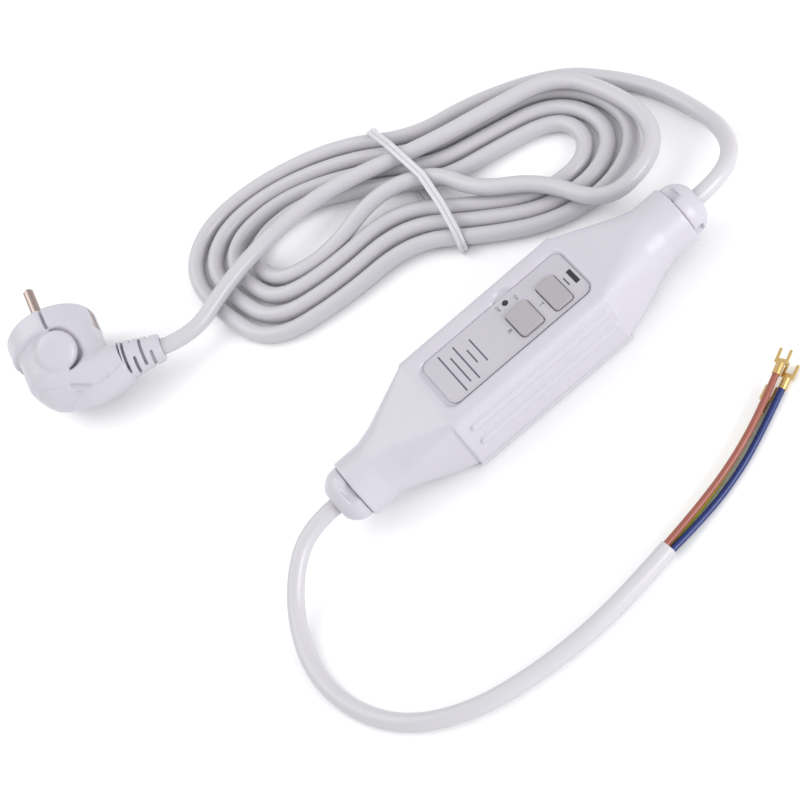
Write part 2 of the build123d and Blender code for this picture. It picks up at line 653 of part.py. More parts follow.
def inner_leads(side):
    """Leads of one pole: supply cord to terminal, contacts through the ring to the load side, load cord."""
    y, bar_y, ring_y = side * POLE_Y, side * BRIDGE_Y, side * RING_LEAD_Y
    cord_y, cord_z = side * CORD_LEAD_YZ[0], CORD_LEAD_YZ[1]
    near = [(CORD_IN_X, cord_y, cord_z), (SUPPLY_LEAD_X[0], cord_y, cord_z), (SUPPLY_LEAD_X[1], y, LEAD_Z),
            (SUPPLY_TERMINAL_X[1], y, LEAD_Z)]
    far = [(-CORD_IN_X, cord_y, cord_z), (LOAD_LEAD_X[0], cord_y, cord_z), (LOAD_LEAD_X[1], y, LEAD_Z),
           (LOAD_TERMINAL_X[0], y, LEAD_Z)]
    through = [(LEFT_LEG_X, bar_y, LEAD_Z), (RING_LEAD_X[0], bar_y, LEAD_Z), (RING_LEAD_X[1], ring_y, CORE_Z),
               (RING_LEAD_X[2], ring_y, CORE_Z), (RING_LEAD_X[3], y, LEAD_Z), (LOAD_TERMINAL_X[1], y, LEAD_Z)]
    return [tube_along(points, 2 * LEAD_R, LEAD_SIDES)[0] for points in (near, far, through)]


def earth_lead():
    points = [(CORD_IN_X, 0, EARTH_LEAD_Z), *EARTH_TURN]
    way = points + [(-x, y, z) for x, y, z in reversed(points)]
    return tube_along(way, 2 * LEAD_R, LEAD_SIDES)[0]


def unit(v):
    return v / v.length


def heading(degrees):
    return Vector(math.cos(math.radians(degrees)), math.sin(math.radians(degrees)), 0)


def hank_nodes():
    """Points and headings the hank runs through, as (x, y, z, degrees)."""
    nodes = list(HANK_IN)
    for turn in range(HANK_TURNS):
        for (x, y, z, degrees), (dx, dy) in HANK_TURN:
            nodes.append((x + dx * turn, y + dy * turn, z, degrees))
    return nodes + list(HANK_OUT)


def biarc(p, t, q, s):
    """Two tangent arcs from p heading t to q heading s."""
    v, both = q - p, t + s
    k = 2 * (1 - t.dot(s))
    d = (math.sqrt(v.dot(both) ** 2 + k * v.dot(v)) - v.dot(both)) / k
    joint = (p + t * d + q - s * d) / 2
    first = TangentArc(p, joint, tangent=t)
    return [first, TangentArc(joint, q, tangent=first % 1)]


def hank_path():
    nodes = [(Vector(x, y, z), heading(degrees)) for x, y, z, degrees in hank_nodes()]
    (p, t), (q, s) = nodes[0], nodes[-1]
    edges = [Line(p - t * CORD_D, p)]
    for (a, u), (b, v) in zip(nodes, nodes[1:]):
        edges += biarc(a, u, b, v)
    return edges + [Line(q, q + s * CORD_D)]


def hank():
    edges = hank_path()
    line = Wire([e.edge() for e in edges])
    tube = sweep(Plane(line @ 0, z_dir=line % 0) * RegularPolygon(CORD_D / 2, CORD_SIDES), path=line)
    points, at, run = [], [], 0.0
    for e in edges:
        for i in range(SAMPLES_PER_EDGE):
            points.append(e @ (i / SAMPLES_PER_EDGE))
            at.append(run + e.length * i / SAMPLES_PER_EDGE)
        run += e.length
    apart = ((i, j) for i in range(len(points)) for j in range(i) if at[i] - at[j] > GAP_SKIP)
    gap = min((points[i] - points[j]).length for i, j in apart)
    print("hank: length %.1f, least gap to itself %.2f, least radius %.1f" % (
        run, gap - CORD_D, min(e.radius for e in edges if e.geom_type == GeomType.CIRCLE)))
    return tube


def hank_tie():
    plane = Plane(origin=(*TIE_WAIST, 0), x_dir=heading(TIE_TILT), z_dir=heading(TIE_TILT - 90))
    rings = []
    for offset in TIE_STRANDS:
        points = [plane.from_local_coords((v, z, offset)) for v, z in TIE_PATH]
        line = FilletPolyline(*points, radius=TIE_BEND, close=True)
        rings.append(sweep(Plane(line @ 0, z_dir=line % 0) * RegularPolygon(TIE_WIRE_R, WIRE_SIDES), path=line))
    return rings


def plug_place():
    """Location of the plug: X toward its cord, Y up, Z from the face to the rear."""
    turn, tilt = math.radians(PLUG_AZIMUTH), math.radians(PLUG_TILT)
    pins = Vector(math.cos(turn) * math.cos(tilt), math.sin(turn) * math.cos(tilt), math.sin(tilt))
    return Location(Plane(origin=PLUG_AT, x_dir=(math.sin(turn), -math.cos(turn), 0), z_dir=-pins))


def carrier_box():
    return Pos(0, 0, PIN_IN - CARRIER_SIZE[2] / 2) * Box(*CARRIER_SIZE)


def earth_slots(more):
    (cz, lz) = span(EARTH_STRIP_Z)
    size = (EARTH_STRIP_T + more, EARTH_STRIP_W + 2 * more, lz + 2 * more)
    return [Pos(side * (FLAT_E + EARTH_STRIP_T / 2 + more / 2), 0, cz) * Box(*size) for side in (-1, 1)]


def plug_body():
    band = extrude(Circle(BAND_R), BAND_L)
    band = chamfer(band.edges().group_by(Axis.Z)[0], BAND_EDGE)
    rear = loft([Pos(0, 0, z) * Ellipse(x, y) for z, x, y in REAR_SECTIONS], ruled=True)
    outline = Polyline(*NECK_PROFILE)
    first, last = NECK_PROFILE[0], NECK_PROFILE[-1]
    face = make_face(outline + Polyline(last, (last[0], 0), (first[0], 0), first))
    neck = Pos(0, 0, NECK_Z) * revolve(face, Axis.X)
    body = band + rear + neck
    groove_l = BAND_L * GROOVE_SHARE
    for side in (-1, 1):
        body -= Pos(0, side * BAND_R, groove_l / 2) * Box(GROOVE_W, 2 * GROOVE_DEEP, groove_l)
        body -= Pos(0, side * PIN_APART / 2, 0) * Cylinder(PIN_ROOT_R, 2 * PIN_IN)
    body += Pos(*BOSS_AT) * Rot(BOSS_TILT, 0, 0) * scale(Sphere(1), BOSS_SIZE)
    for slot in earth_slots(0):
        body -= slot
    return plug_place() * (body - carrier_box())


def pin_bores():
    bore = Pos(0, PIN_APART / 2, 0) * Cylinder(PIN_ROOT_R, 2 * PIN_IN)
    return bore + mirror(bore, about=Plane.XZ)


def plug_pins():
    """Two pins, each with a thinner root that starts at a short neck outside the face."""
    pins = []
    for side in (-1, 1):
        pin = extrude(Circle(PIN_R), PIN_L - PIN_NECK)
        pin = chamfer(pin.edges().group_by(Axis.Z)[0], PIN_TIP)
        pin += Pos(0, 0, PIN_L - PIN_NECK) * extrude(Circle(PIN_ROOT_R), PIN_NECK + PIN_IN)
        pins.append(plug_place() * Pos(0, side * PIN_APART / 2, -PIN_L) * pin)
    return pins


def plug_earth_contacts():
    return [plug_place() * strip for strip in earth_slots(0)]


def boot_frame():
    start, end = Vector(*BOOT_FROM), Vector(*BOOT_TO)
    return start, end, unit(end - start)


def plug_strain_relief():
    """Sleeve from the neck's face to the cord, with rings of falling size round it."""
    start, end, along = boot_frame()
    first = Plane(origin=start, z_dir=(1, 0, 0)) * Circle(BOOT_CORE_R)
    last = Plane(origin=end, z_dir=along) * Circle(BOOT_CORE_R)
    body = loft([first, last])
    pitch = (end - start).length / BOOT_RINGS
    for i in range(BOOT_RINGS):
        at = start + along * (pitch * (i + 1 - BOOT_RING_SHARE))
        radius = BOOT_R[0] + (BOOT_R[1] - BOOT_R[0]) * i / (BOOT_RINGS - 1)
        body += extrude(Plane(origin=at, z_dir=along) * Circle(radius), pitch * BOOT_RING_SHARE)
    return plug_place() * body


def boot_exit():
    """Point where the cord leaves the sleeve and the direction it leaves in."""
    _, end, along = boot_frame()
    near = (plug_place() * Pos(*end)).position
    far = (plug_place() * Pos(*(end + along * BOOT_RUN))).position
    return near, far


def fork(way):
    """Crimped fork on the end of a core, along its last run."""
    end = Vector(*way[-1])
    along = unit(end - Vector(*way[-2]))
    barrel = extrude(Circle(FORK_BARREL_R), FORK_BARREL_L)
    plate = Pos(0, 0, FORK_BARREL_L + FORK_L / 2) * Box(FORK_W, FORK_T, FORK_L)
    plate -= Pos(0, 0, FORK_BARREL_L + FORK_L - FORK_SLOT_L / 2) * Box(FORK_SLOT, FORK_T, FORK_SLOT_L)
    flat = Plane(origin=end, x_dir=along.cross(Vector(0, 0, 1)), z_dir=along)
    return Location(flat) * (barrel + plate)


def cord(name, way, diameter, sides, log):
    tube, bends, volume = tube_along(way, diameter, sides)
    log.append("%s: length %.1f, arcs %s, volume over section times length %.4f" % (
        name, volume / RegularPolygon(diameter / 2, sides).area, ["%.0f" % r for r in bends], tube.volume / volume))
    return tube


def save(node, solids):
    solids = solids if isinstance(solids, list) else [solids]
    single = [s.solid() if len(s.solids()) == 1 else s for s in solids]
    export_step(Compound(children=single), "parts/" + node + ".step")


def main():
    os.makedirs("parts", exist_ok=True)
    log = []
    path = hank_path()
    near, far = boot_exit()
    hank_start, hank_end = path[0] @ 0, path[-1] @ 1
    before_hank = tuple(hank_start - (path[0] % 0) * HANK_RUNS[0])
    after_hank = tuple(hank_end + (path[-1] % 1) * HANK_RUNS[1])
    nodes = {
        "upper_housing": upper_housing(),
        "lower_cover": lower_cover(),
        "housing_gasket": gasket_ring(),
        "cover_screws": four(*COVER_SCREW_XY,
                             lambda x, y: screw(x, y, COVER_SCREW_HEAD_Z - SCREW_HEAD_H, COVER_SCREW_TOP)),
        "gland_cap_supply": gland_cap(),
        "gland_cap_load": mirror(gland_cap(), about=Plane.YZ),
        "gland_seals": both_ends(gland_seal()),
        "cord_clamps": both_ends(cord_clamp()),
        "clamp_screws": four(CLAMP_SCREW_X, CLAMP_SCREW_Y,
                             lambda x, y: screw(x, y, CLAMP_Z[0] - SCREW_HEAD_H, CLAMP_SCREW_TOP)),
        "gland_cord_ends": both_ends(rod_x((CORD_IN_X, CAP_END_X), 0, AXIS_Z, CORD_D / 2)),
        "fascia_panel": fascia(),
        "test_button": button(TEST_SIZE, TEST_XY, TEST_TOP_Z, TEST_STEM_Z),
        "reset_button": button(RESET_SIZE, RESET_XY, RESET_TOP_Z, RESET_STEM_Z),
        "test_spring": spring(*TEST_XY, (FRAME_TOP_Z[1], FLANGE_Z[0]), SPRING_R),
        "reset_spring": spring(*RESET_XY, (FRAME_TOP_Z[1], FLANGE_Z[0]), SPRING_R),
        "lamp_window": windows(WINDOW_Z, 0)[0],
        "indicator_window": windows(WINDOW_Z, 0)[1],
        "status_lamp": status_lamp(),
        "circuit_board": circuit_board(),
        "board_screws": four(*POST_XY,
                             lambda x, y: screw(x, y, BOARD_Z[0] - SCREW_HEAD_H, BOARD_SCREW_TOP)),
        "supply_terminals": terminals(SUPPLY_TERMINAL_X),
        "load_terminals": terminals(LOAD_TERMINAL_X),
        "sensing_core": toroid(CORE_X, CORE_R, CORE_HOLE_R),
        "sensing_winding": toroid_winding(),
        "solenoid_coil": solenoid_coil(),
        "solenoid_yoke": solenoid_yoke(),
        "trip_plunger": trip_plunger(),
        "plunger_spring": spring(*COIL_XY, (COIL_Z[1] + YOKE_T, PLUNGER_Z[1] - PLUNGER_HEAD_H), PLUNGER_SPRING_R),
        "contact_frame": contact_frame(),
        "contact_carriage": contact_carriage(),
        "moving_contacts": moving_contacts(),
        "fixed_contacts": fixed_contacts(),
        "status_flag": status_flag(),
        "test_contacts": test_contacts(),
        "varistor": varistor(),
        "capacitor": block(CAPACITOR_X, CAPACITOR_Y, CAPACITOR_Z),
        "control_chip": block(CHIP_X, CHIP_Y, CHIP_Z),
        "live_leads": inner_leads(-1),
        "neutral_leads": inner_leads(1),
        "earth_lead": earth_lead(),
        "supply_cord_body_end": cord("supply cord, housing end", (*BODY_END_WAY, before_hank, tuple(hank_start)),
                                     CORD_D, CORD_SIDES, log),
        "supply_cord_hank": hank(),
        "hank_tie": hank_tie(),
        "supply_cord_plug_end": cord("supply cord, plug end",
                                     (tuple(near), tuple(far), *PLUG_END_WAY, after_hank, tuple(hank_end)),
                                     CORD_D, CORD_SIDES, log),
        "load_cord": cord("load cord", LOAD_WAY, CORD_D, CORD_SIDES, log),
        "core_brown": cord("brown core", BROWN_WAY, CORE_D, LEAD_SIDES, log),
        "core_blue": cord("blue core", BLUE_WAY, CORE_D, LEAD_SIDES, log),
        "core_earth": cord("earth core", EARTH_WAY, CORE_D, LEAD_SIDES, log),
        "fork_brown": fork(BROWN_WAY),
        "fork_blue": fork(BLUE_WAY),
        "fork_earth": fork(EARTH_WAY),
        "plug_body": plug_body(),
        "plug_pins": plug_pins(),
        "plug_pin_carrier": plug_place() * (carrier_box() - pin_bores()),
        "plug_earth_contacts": plug_earth_contacts(),
        "plug_strain_relief": plug_strain_relief(),
    }
    for node, solids in nodes.items():
        save(node, solids)
        box = Compound(children=list(solids) if isinstance(solids, list) else [solids]).bounding_box()
        print("%-22s %s %s" % (node, ["%.1f" % v for v in box.min], ["%.1f" % v for v in box.max]))
    print(*log, sep="\n")


main()
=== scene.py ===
# %% [markdown]
# # In-line residual current device on its mains lead
# A white moulded housing sits in the middle of a mains lead. One side runs to an angled earthed plug
# through a tied hank of cord, and the other ends in three cores with fork terminals.
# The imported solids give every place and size. This lesson puts finer skins over the ones that show most,
# draws the cords as curves, and adds the camera, finishes, floor and light.

# %% Load the frame
import json
import math

import bpy
import numpy as np
from mathutils import Matrix


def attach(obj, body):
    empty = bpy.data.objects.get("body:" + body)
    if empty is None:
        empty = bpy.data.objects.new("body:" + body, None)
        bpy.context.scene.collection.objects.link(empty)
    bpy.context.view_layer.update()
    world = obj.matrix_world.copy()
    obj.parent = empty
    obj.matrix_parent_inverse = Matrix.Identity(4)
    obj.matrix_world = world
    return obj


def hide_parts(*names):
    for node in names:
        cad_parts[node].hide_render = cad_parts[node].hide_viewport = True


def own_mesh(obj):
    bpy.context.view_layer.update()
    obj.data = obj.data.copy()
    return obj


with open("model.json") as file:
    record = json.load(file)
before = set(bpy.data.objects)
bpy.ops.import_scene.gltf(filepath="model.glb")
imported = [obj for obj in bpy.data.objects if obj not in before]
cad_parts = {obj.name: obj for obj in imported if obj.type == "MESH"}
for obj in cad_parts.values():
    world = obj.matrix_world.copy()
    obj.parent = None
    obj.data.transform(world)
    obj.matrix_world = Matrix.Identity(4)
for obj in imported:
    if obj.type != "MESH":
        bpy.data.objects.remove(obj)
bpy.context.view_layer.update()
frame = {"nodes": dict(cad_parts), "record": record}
MM = 0.001
UP = np.array([0.0, 0.0, 1.0])


# %% Object helpers
def put_in(name, data):
    """A new object that shows the data, linked to the scene."""
    piece = bpy.data.objects.new(name, data)
    bpy.context.collection.objects.link(piece)
    return piece


def stand(x, y, z, spot):
    """The matrix of an object whose own axes point along x, y and z and whose origin is at the spot."""
    matrix = np.eye(4)
    matrix[:3] = np.stack([x, y, z, spot], axis=1)
    return Matrix(matrix.tolist())


# %% [markdown]
# ## Camera
# The picture was taken from above with a long lens, and the camera was rolled so that the housing runs
# up to the right. The three directions of the camera follow from its tilt and its roll, and its place
# follows from where the middle of the housing stands in the picture. A camera that is worked out this way
# can be corrected one number at a time, and a camera that is dragged into place can't.

# %% Camera
FOCAL_PIXELS = 2200.0
PICTURE = 800.0
SENSOR = 36.0
TILT, ROLL = math.radians(52.0), math.radians(40.5)
DISTANCE = 0.8871
HOUSING_MIDDLE = np.array([0.0, 0.0, 0.0175])
HOUSING_PIXEL = np.array([516.0, 352.0])


def camera_axes(tilt, roll):
    """Forward looks down by the tilt. Right is level and up is upright, both turned about forward by the
    roll."""
    forward = np.array([0.0, math.cos(tilt), -math.sin(tilt)])
    level = np.array([1.0, 0.0, 0.0])
    upright = np.cross(level, forward)
    right = math.cos(roll) * level - math.sin(roll) * upright
    up = math.sin(roll) * level + math.cos(roll) * upright
    return right, up, forward


right, up, forward = camera_axes(TILT, ROLL)
offset = (HOUSING_PIXEL - PICTURE / 2) / FOCAL_PIXELS
eye = HOUSING_MIDDLE - DISTANCE * (forward + right * offset[0] - up * offset[1])
camera_data = bpy.data.cameras.new("camera")
camera_data.sensor_width = SENSOR
camera_data.lens = SENSOR * FOCAL_PIXELS / PICTURE
camera = put_in("camera", camera_data)
camera.matrix_world = stand(right, up, -forward, eye)
bpy.context.scene.camera = camera
print("camera at", np.round(eye, 4), "lens", round(camera_data.lens, 1))

# %% [markdown]
# ## Routes of the cords
# A cord is a curve with one NURBS spline. A spline of the second degree touches every leg of its control
# polygon at the middle, so a few listed points give one smooth line with no kinks.
# The hank is three full turns and a part of a fourth, which shift by a steady step per turn. At each
# named place of a turn the cord has a place and a heading. Two control points stand before and after
# that place along its heading, at the distance where two equal arcs would meet.

# %% Widths and heights, in millimetres
CORD_WIDTH = 7.4
CORE_WIDTH = 2.8
LOW = CORD_WIDTH / 2
WAIST, HIGH = 4.9, 11.75

# %% Places of the hank
# A place is x, y, z and the heading in degrees. Each place of a turn also has its step per turn in x and y.
HANK_IN = [(76.62, 123.93, LOW, 150.0), (20.74, 149.26, WAIST, 134.4)]
HANK_TURN = [
    ((-50.49, 180.2, LOW, 177.53), (2.87, -8.83)),
    ((-83.48, 150.32, LOW, -90.0), (8.83, -3.19)),
    ((-58.48, 97.12, LOW, -11.9), (3.94, 8.83)),
    ((15.03, 77.84, WAIST, -45.67), (0.84, 10.54)),
    ((68.05, 46.06, LOW, -7.31), (0.05, 9.07)),
    ((103.72, 72.22, LOW, 90.0), (-9.07, 3.67)),
    ((74.77, 114.86, LOW, 162.54), (-1.85, -9.07)),
    ((19.90, 138.72, WAIST, 134.4), (-0.84, -10.54)),
]
HANK_TURNS = 3
HANK_OUT = [
    (-40.82, 152.86, LOW, 177.53), (-57.02, 137.37, LOW, -90.0), (-44.54, 122.07, LOW, -11.9),
    (17.81, 112.61, 12.5, -28.96), (44.18, 75.85, 12.4, -40.38), (87.0, 34.0, HIGH, 6.0),
    (107.5, 58.0, HIGH, 92.0), (80.0, 109.5, 11.9, 162.0), (19.04, 127.96, 12.95, 157.01),
]

# %% Control points of the other stretches
FROM_HOUSING = [(95.5, 0, 17.5), (108.0, 0, 17.5), (120.5, 9.0, 14.2), (126.5, 27.0, 8.0),
                (126.0, 48.0, 4.0), (121.5, 70.0, LOW), (112.0, 90.0, LOW), (97.23, 112.03, LOW)]
TO_PLUG = [(-13.55, 141.79, 12.95), (-50.0, 142.0, 12.1), (-76.0, 136.5, 11.9),
           (-98.45, 127.66, 11.0), (-112.58, 131.81, 13.85)]
LOAD_WAY = [(-95.5, 0, 17.5), (-109.5, 0, 17.5), (-125.0, -8.0, 12.5), (-138.0, -23.0, 5.5),
            (-144.5, -46.0, LOW), (-140.5, -71.0, LOW), (-127.0, -92.0, LOW), (-104.0, -105.5, LOW),
            (-78.0, -111.0, LOW), (-50.0, -112.5, LOW), (-24.8, -110.0, LOW), (-7.0, -107.0, LOW)]
BROWN_WAY = [(-7.15, -106.1, 5.24), (14.0, -102.5, 5.3), (36.0, -96.3, 5.4), (54.0, -88.3, 5.4),
             (68.3, -80.4, 5.4)]
BLUE_WAY = [(-6.71, -108.76, 3.7), (12.0, -105.9, 1.9), (32.0, -100.8, 1.6), (50.0, -93.2, 1.6),
            (66.3, -85.0, 1.75)]
EARTH_WAY = [(-7.15, -106.1, 2.16), (7.0, -102.6, 1.6), (25.0, -98.1, 1.6), (42.0, -91.4, 1.6),
             (54.3, -86.3, 1.75)]


# %% Control points of the hank
def hank_places():
    """Each turn repeats the named places, moved by its step times the number of turns done."""
    turns = [(x + dx * n, y + dy * n, z, a)
             for n in range(HANK_TURNS) for (x, y, z, a), (dx, dy) in HANK_TURN]
    return np.array(HANK_IN + turns + HANK_OUT)


def hank_points():
    """For neighbours p heading t and q heading s, the control points are p + t d and q - s d, where d
    solves |q - p - (t + s) d| = 2 d: there the two joining arcs have legs of equal length."""
    places = hank_places()
    at, turn = places[:, :3], np.radians(places[:, 3])
    head = np.stack([np.cos(turn), np.sin(turn), np.zeros(len(turn))], axis=1)
    v, both = at[1:] - at[:-1], head[:-1] + head[1:]
    k = 2 * (1 - np.sum(head[:-1] * head[1:], axis=1))
    along = np.sum(v * both, axis=1)
    d = ((np.sqrt(along ** 2 + k * np.sum(v * v, axis=1)) - along) / k)[:, None]
    pairs = np.stack([at[:-1] + head[:-1] * d, at[1:] - head[1:] * d], axis=1)
    return pairs.reshape(-1, 3)


hank = hank_points()
print("hank control points", len(hank))

# %% [markdown]
# ## The cords
# A mains cord is a round sheath of soft PVC, pressed out round its three cores in one endless length. A
# curve with a round bevel is made the same way, so it keeps its width on every bend, and a later change of
# route is a change of one point.

# %% Cord maker
ROUND_STEPS, LONG_STEPS = 5, 8


def cord_curve(name, points, width):
    """A bevelled curve with one NURBS spline whose control points are the route's points. The bevel is a
    circle of radius one, and each point's own radius, half the cord's width, brings it to size. A curve's
    box is its points widened by their radius, so it is true as well."""
    data = bpy.data.curves.new(name, "CURVE")
    data.dimensions = "3D"
    data.bevel_depth = 1.0
    data.bevel_resolution = ROUND_STEPS
    data.resolution_u = LONG_STEPS
    data.use_fill_caps = True
    spline = data.splines.new("NURBS")
    spline.points.add(len(points) - 1)
    rows = np.c_[np.array(points, float) * MM, np.ones(len(points))]
    spline.points.foreach_set("co", rows.ravel())
    spline.points.foreach_set("radius", np.full(len(points), width / 2 * MM))
    spline.order_u = 3
    spline.use_endpoint_u = True
    print(name, "control points", len(points))
    return put_in(name, data)


# %% What each new piece is
# A row is a new piece and the name of its finish.
new_pieces = []


def fit_out(piece, body, slot, *nodes, finish=None):
    """The piece rides on the body and stands for the nodes, which it hides. Its finish has the slot's name
    unless another is given, and is put on once the finishes are made."""
    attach(piece, body)
    if nodes:
        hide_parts(*nodes)
    new_pieces.append((piece, finish or slot))


# %% Supply cord and load cord
supply_cord = cord_curve("supply_cord", FROM_HOUSING + hank.tolist() + TO_PLUG, CORD_WIDTH)
fit_out(supply_cord, "housing", "cord_white",
        "supply_cord_body_end", "supply_cord_hank", "supply_cord_plug_end")
load_cord = cord_curve("load_cord_sheath", LOAD_WAY, CORD_WIDTH)
fit_out(load_cord, "housing", "cord_white", "load_cord")

# %% Cores
# They leave the load cord's cut end, and each carries a fork terminal.
CORES = [("brown", BROWN_WAY, 0.080), ("blue", BLUE_WAY, 0.077), ("earth", EARTH_WAY, 0.065)]
for colour, way, length in CORES:
    core = cord_curve(colour + "_core", way, CORE_WIDTH)
    fit_out(core, "housing", "core_" + colour + "_skin", "core_" + colour)

# %% [markdown]
# ## Shapes from distance fields
# The plug is one soft moulding: a round band, a rear that slopes away, a neck that turns to the cord and a
# raised finger pad, all flowing into one another. Modelling that from patches would need many seams.
# Instead each form is a field, a number at every point of a grid that is negative inside the form, and
# fields are joined by taking the smaller one. A surface is then drawn where the joined field is zero.


# %% Surface of a field
def quads_round(number, field, axis):
    """One face round every grid edge along axis whose two ends lie on different sides of the surface. The
    face joins the points of the four cells that share the edge, and is turned so that it faces outward."""
    n, f = np.moveaxis(number, axis, 0), np.moveaxis(field, axis, 0)[:, 1:-1, 1:-1]
    inside, inside_next = f[:-1] < 0, f[1:] < 0
    crossed = inside != inside_next
    quads = np.stack([n[:, :-1, :-1], n[:, 1:, :-1], n[:, 1:, 1:], n[:, :-1, 1:]], axis=-1)[crossed]
    keep = (inside[crossed] != (axis == 1))[:, None]
    return np.where(keep, quads, quads[:, ::-1])


def surface_of(field, low, step):
    """Each grid cell that the surface crosses gets one point, the mean of the crossings on its edges, where
    a crossing divides its edge in the ratio of the two field values."""
    cells = tuple(n - 1 for n in field.shape)
    total, count = np.zeros((*cells, 3)), np.zeros(cells)
    for axis in range(3):
        side = [a for a in range(3) if a != axis]
        f, t, c = np.moveaxis(field, axis, 0), np.moveaxis(total, axis, 0), np.moveaxis(count, axis, 0)
        crossed = (f[:-1] < 0) != (f[1:] < 0)
        share = np.where(crossed, f[:-1] / np.where(crossed, f[:-1] - f[1:], 1.0), 0.0)
        for j in (0, 1):
            for k in (0, 1):
                hit = crossed[:, j:j + c.shape[1], k:k + c.shape[2]]
                t[..., axis] += share[:, j:j + c.shape[1], k:k + c.shape[2]]
                t[..., side[0]] += j * hit
                t[..., side[1]] += k * hit
                c += hit
    used = count > 0
    number = np.full(cells, -1)
    number[used] = np.arange(used.sum())
    points = (np.argwhere(used) + total[used] / count[used][:, None]) * step + np.array(low)
    return points, np.concatenate([quads_round(number, field, axis) for axis in range(3)])


def grid_over(low, high, step):
    """Coordinates x, y, z of a box of grid points, as three arrays."""
    lines = [np.arange(a, b + step, step) for a, b in zip(low, high)]
    return np.meshgrid(*lines, indexing="ij")


# %% Tools for fields
def soft_join(a, b, round_by):
    """The smaller field, with the corner between the two filled: min(a, b) - round_by h^2 / 4, where h falls
    from one to zero as the fields come apart by round_by."""
    h = np.maximum(round_by - np.abs(a - b), 0) / round_by
    return np.minimum(a, b) - h * h * round_by / 4


def soft_cut(a, b, round_by):
    """What field a keeps when b is taken away, with the edge rounded."""
    return -soft_join(-a, b, round_by)


def cut(a, b):
    """What field a keeps when b is taken away, with a sharp edge: the greater of a and -b."""
    return np.maximum(a, -b)


def all_of(*fields):
    """The space that all the fields share: the greatest of them."""
    return np.maximum.reduce(np.broadcast_arrays(*fields))


def between(stations, at):
    """The value at a place, read off straight lines between stations of (place, value)."""
    places, values = zip(*stations)
    return np.interp(at, places, values)


def capsule(x, y, z, a, b, radius):
    """Distance to the segment from a to b, less the radius."""
    p, d = np.stack([x, y, z], axis=-1) - np.array(a), np.array(b) - np.array(a)
    share = np.clip(p @ d / (d @ d), 0, 1)
    return np.linalg.norm(p - share[..., None] * d, axis=-1) - radius


def round_box(u, v, half_u, half_v, corner):
    """Distance to a rectangle with round corners: |max(q, 0)| + min(max(q), 0) - corner, where q is how far
    the point lies outside the rectangle that the corners' centres span."""
    q = np.stack([np.abs(u) - (half_u - corner), np.abs(v) - (half_v - corner)])
    return np.linalg.norm(np.maximum(q, 0), axis=0) + np.minimum(q.max(axis=0), 0) - corner


# %% Mesh makers
def mesh_piece(name, points, faces, smooth=True):
    """An object with a mesh, from points in millimetres and faces as lists of point numbers."""
    data = bpy.data.meshes.new(name)
    data.from_pydata((points * MM).tolist(), [], faces)
    if smooth:
        data.shade_smooth()
    print(name, "points", len(points), "faces", len(faces))
    return put_in(name, data)


def field_piece(name, field, box, step, place=None, **given):
    """Draws the surface of a field over a box of grid points, then puts it through a place, which is three
    axes as rows and then the origin. A place that mirrors the piece also turns its faces round."""
    low, high = box
    points, faces = surface_of(field(*grid_over(low, high, step), **given), low, step)
    if place is not None:
        points = points @ place[:3] + place[3]
        if np.linalg.det(place[:3]) < 0:
            faces = faces[:, ::-1]
    return mesh_piece(name, points, faces.tolist())


# %% [markdown]
# ## The plug
# The plug has axes of its own: x toward the cord, y up, z from the face with the pins to the rear.
# Its band is 42 mm across. Behind it the moulding keeps its width on the cord's side, drops by a step on
# the other, and falls away to a rounded back that slants from the far side to the neck. The raised round
# pad faces up and back, with a crescent hollow on its right. The real one is moulded round its pins in one
# shot, so there is no seam to show and every inner corner is soft.

# %% The plug's place
PLUG_AT = np.array([-147.7, 175.8, 21.9])
PLUG_TURN, PLUG_TILT = math.radians(78.0), math.radians(8.0)


def plug_place(at, turn, tilt):
    """z is against the pins, which point along the turn and up by the tilt. x is level, square to them."""
    z = -np.array([math.cos(turn) * math.cos(tilt), math.sin(turn) * math.cos(tilt), math.sin(tilt)])
    x = np.array([math.sin(turn), -math.cos(turn), 0.0])
    return np.stack([x, np.cross(z, x), z, at])


PLUG = plug_place(PLUG_AT, PLUG_TURN, PLUG_TILT)
print("plug axes", np.round(PLUG[:3], 3).tolist())

# %% Band
BAND_R, BAND_L, BAND_EDGE = 21.0, 12.0, 2.0
BAND_FLAT = 20.8


def band_field(x, y, z):
    """A short round bar with rounded edges: a rectangle with round corners in (radius, length)."""
    return round_box(np.hypot(x, y), z - BAND_L / 2, BAND_R, BAND_L / 2, BAND_EDGE)


# %% Rear
# Widths and heights are (z, half size). The side away from the cord steps in behind the band. The step is
# full on that side and just behind the band, and fades toward the cord and toward the rear.
REAR_WIDTHS = [(0, 20.2), (12, 20.2), (20, 19.9), (26, 18.5), (31, 16.2), (37, 11.5), (42, 3.0)]
REAR_HEIGHTS = [(0, 20.4), (12, 20.2), (18, 18.3), (26, 15.1), (32, 12.4), (37, 9.4), (42, 3.0)]
REAR_POWER = 2.3
REAR_FROM, REAR_TO = 4.0, 41.5
STEP_IN = 1.9
STEP_ACROSS = [(-10, 1), (6, 0)]
STEP_ALONG = [(16, 1), (26, 0)]


def rear_field(x, y, z):
    """Ovals |x / a|^2.3 + |y / b|^2.3 = 1 whose half width a and half height b shrink toward the rear."""
    half_w, half_h = between(REAR_WIDTHS, z), between(REAR_HEIGHTS, z)
    step = STEP_IN * between(STEP_ACROSS, x) * between(STEP_ALONG, z)
    size = (np.abs(x / half_w) ** REAR_POWER + np.abs(y / half_h) ** REAR_POWER) ** (1 / REAR_POWER)
    return all_of((size - 1) * np.minimum(half_w, half_h) + step, REAR_FROM - z, z - REAR_TO)


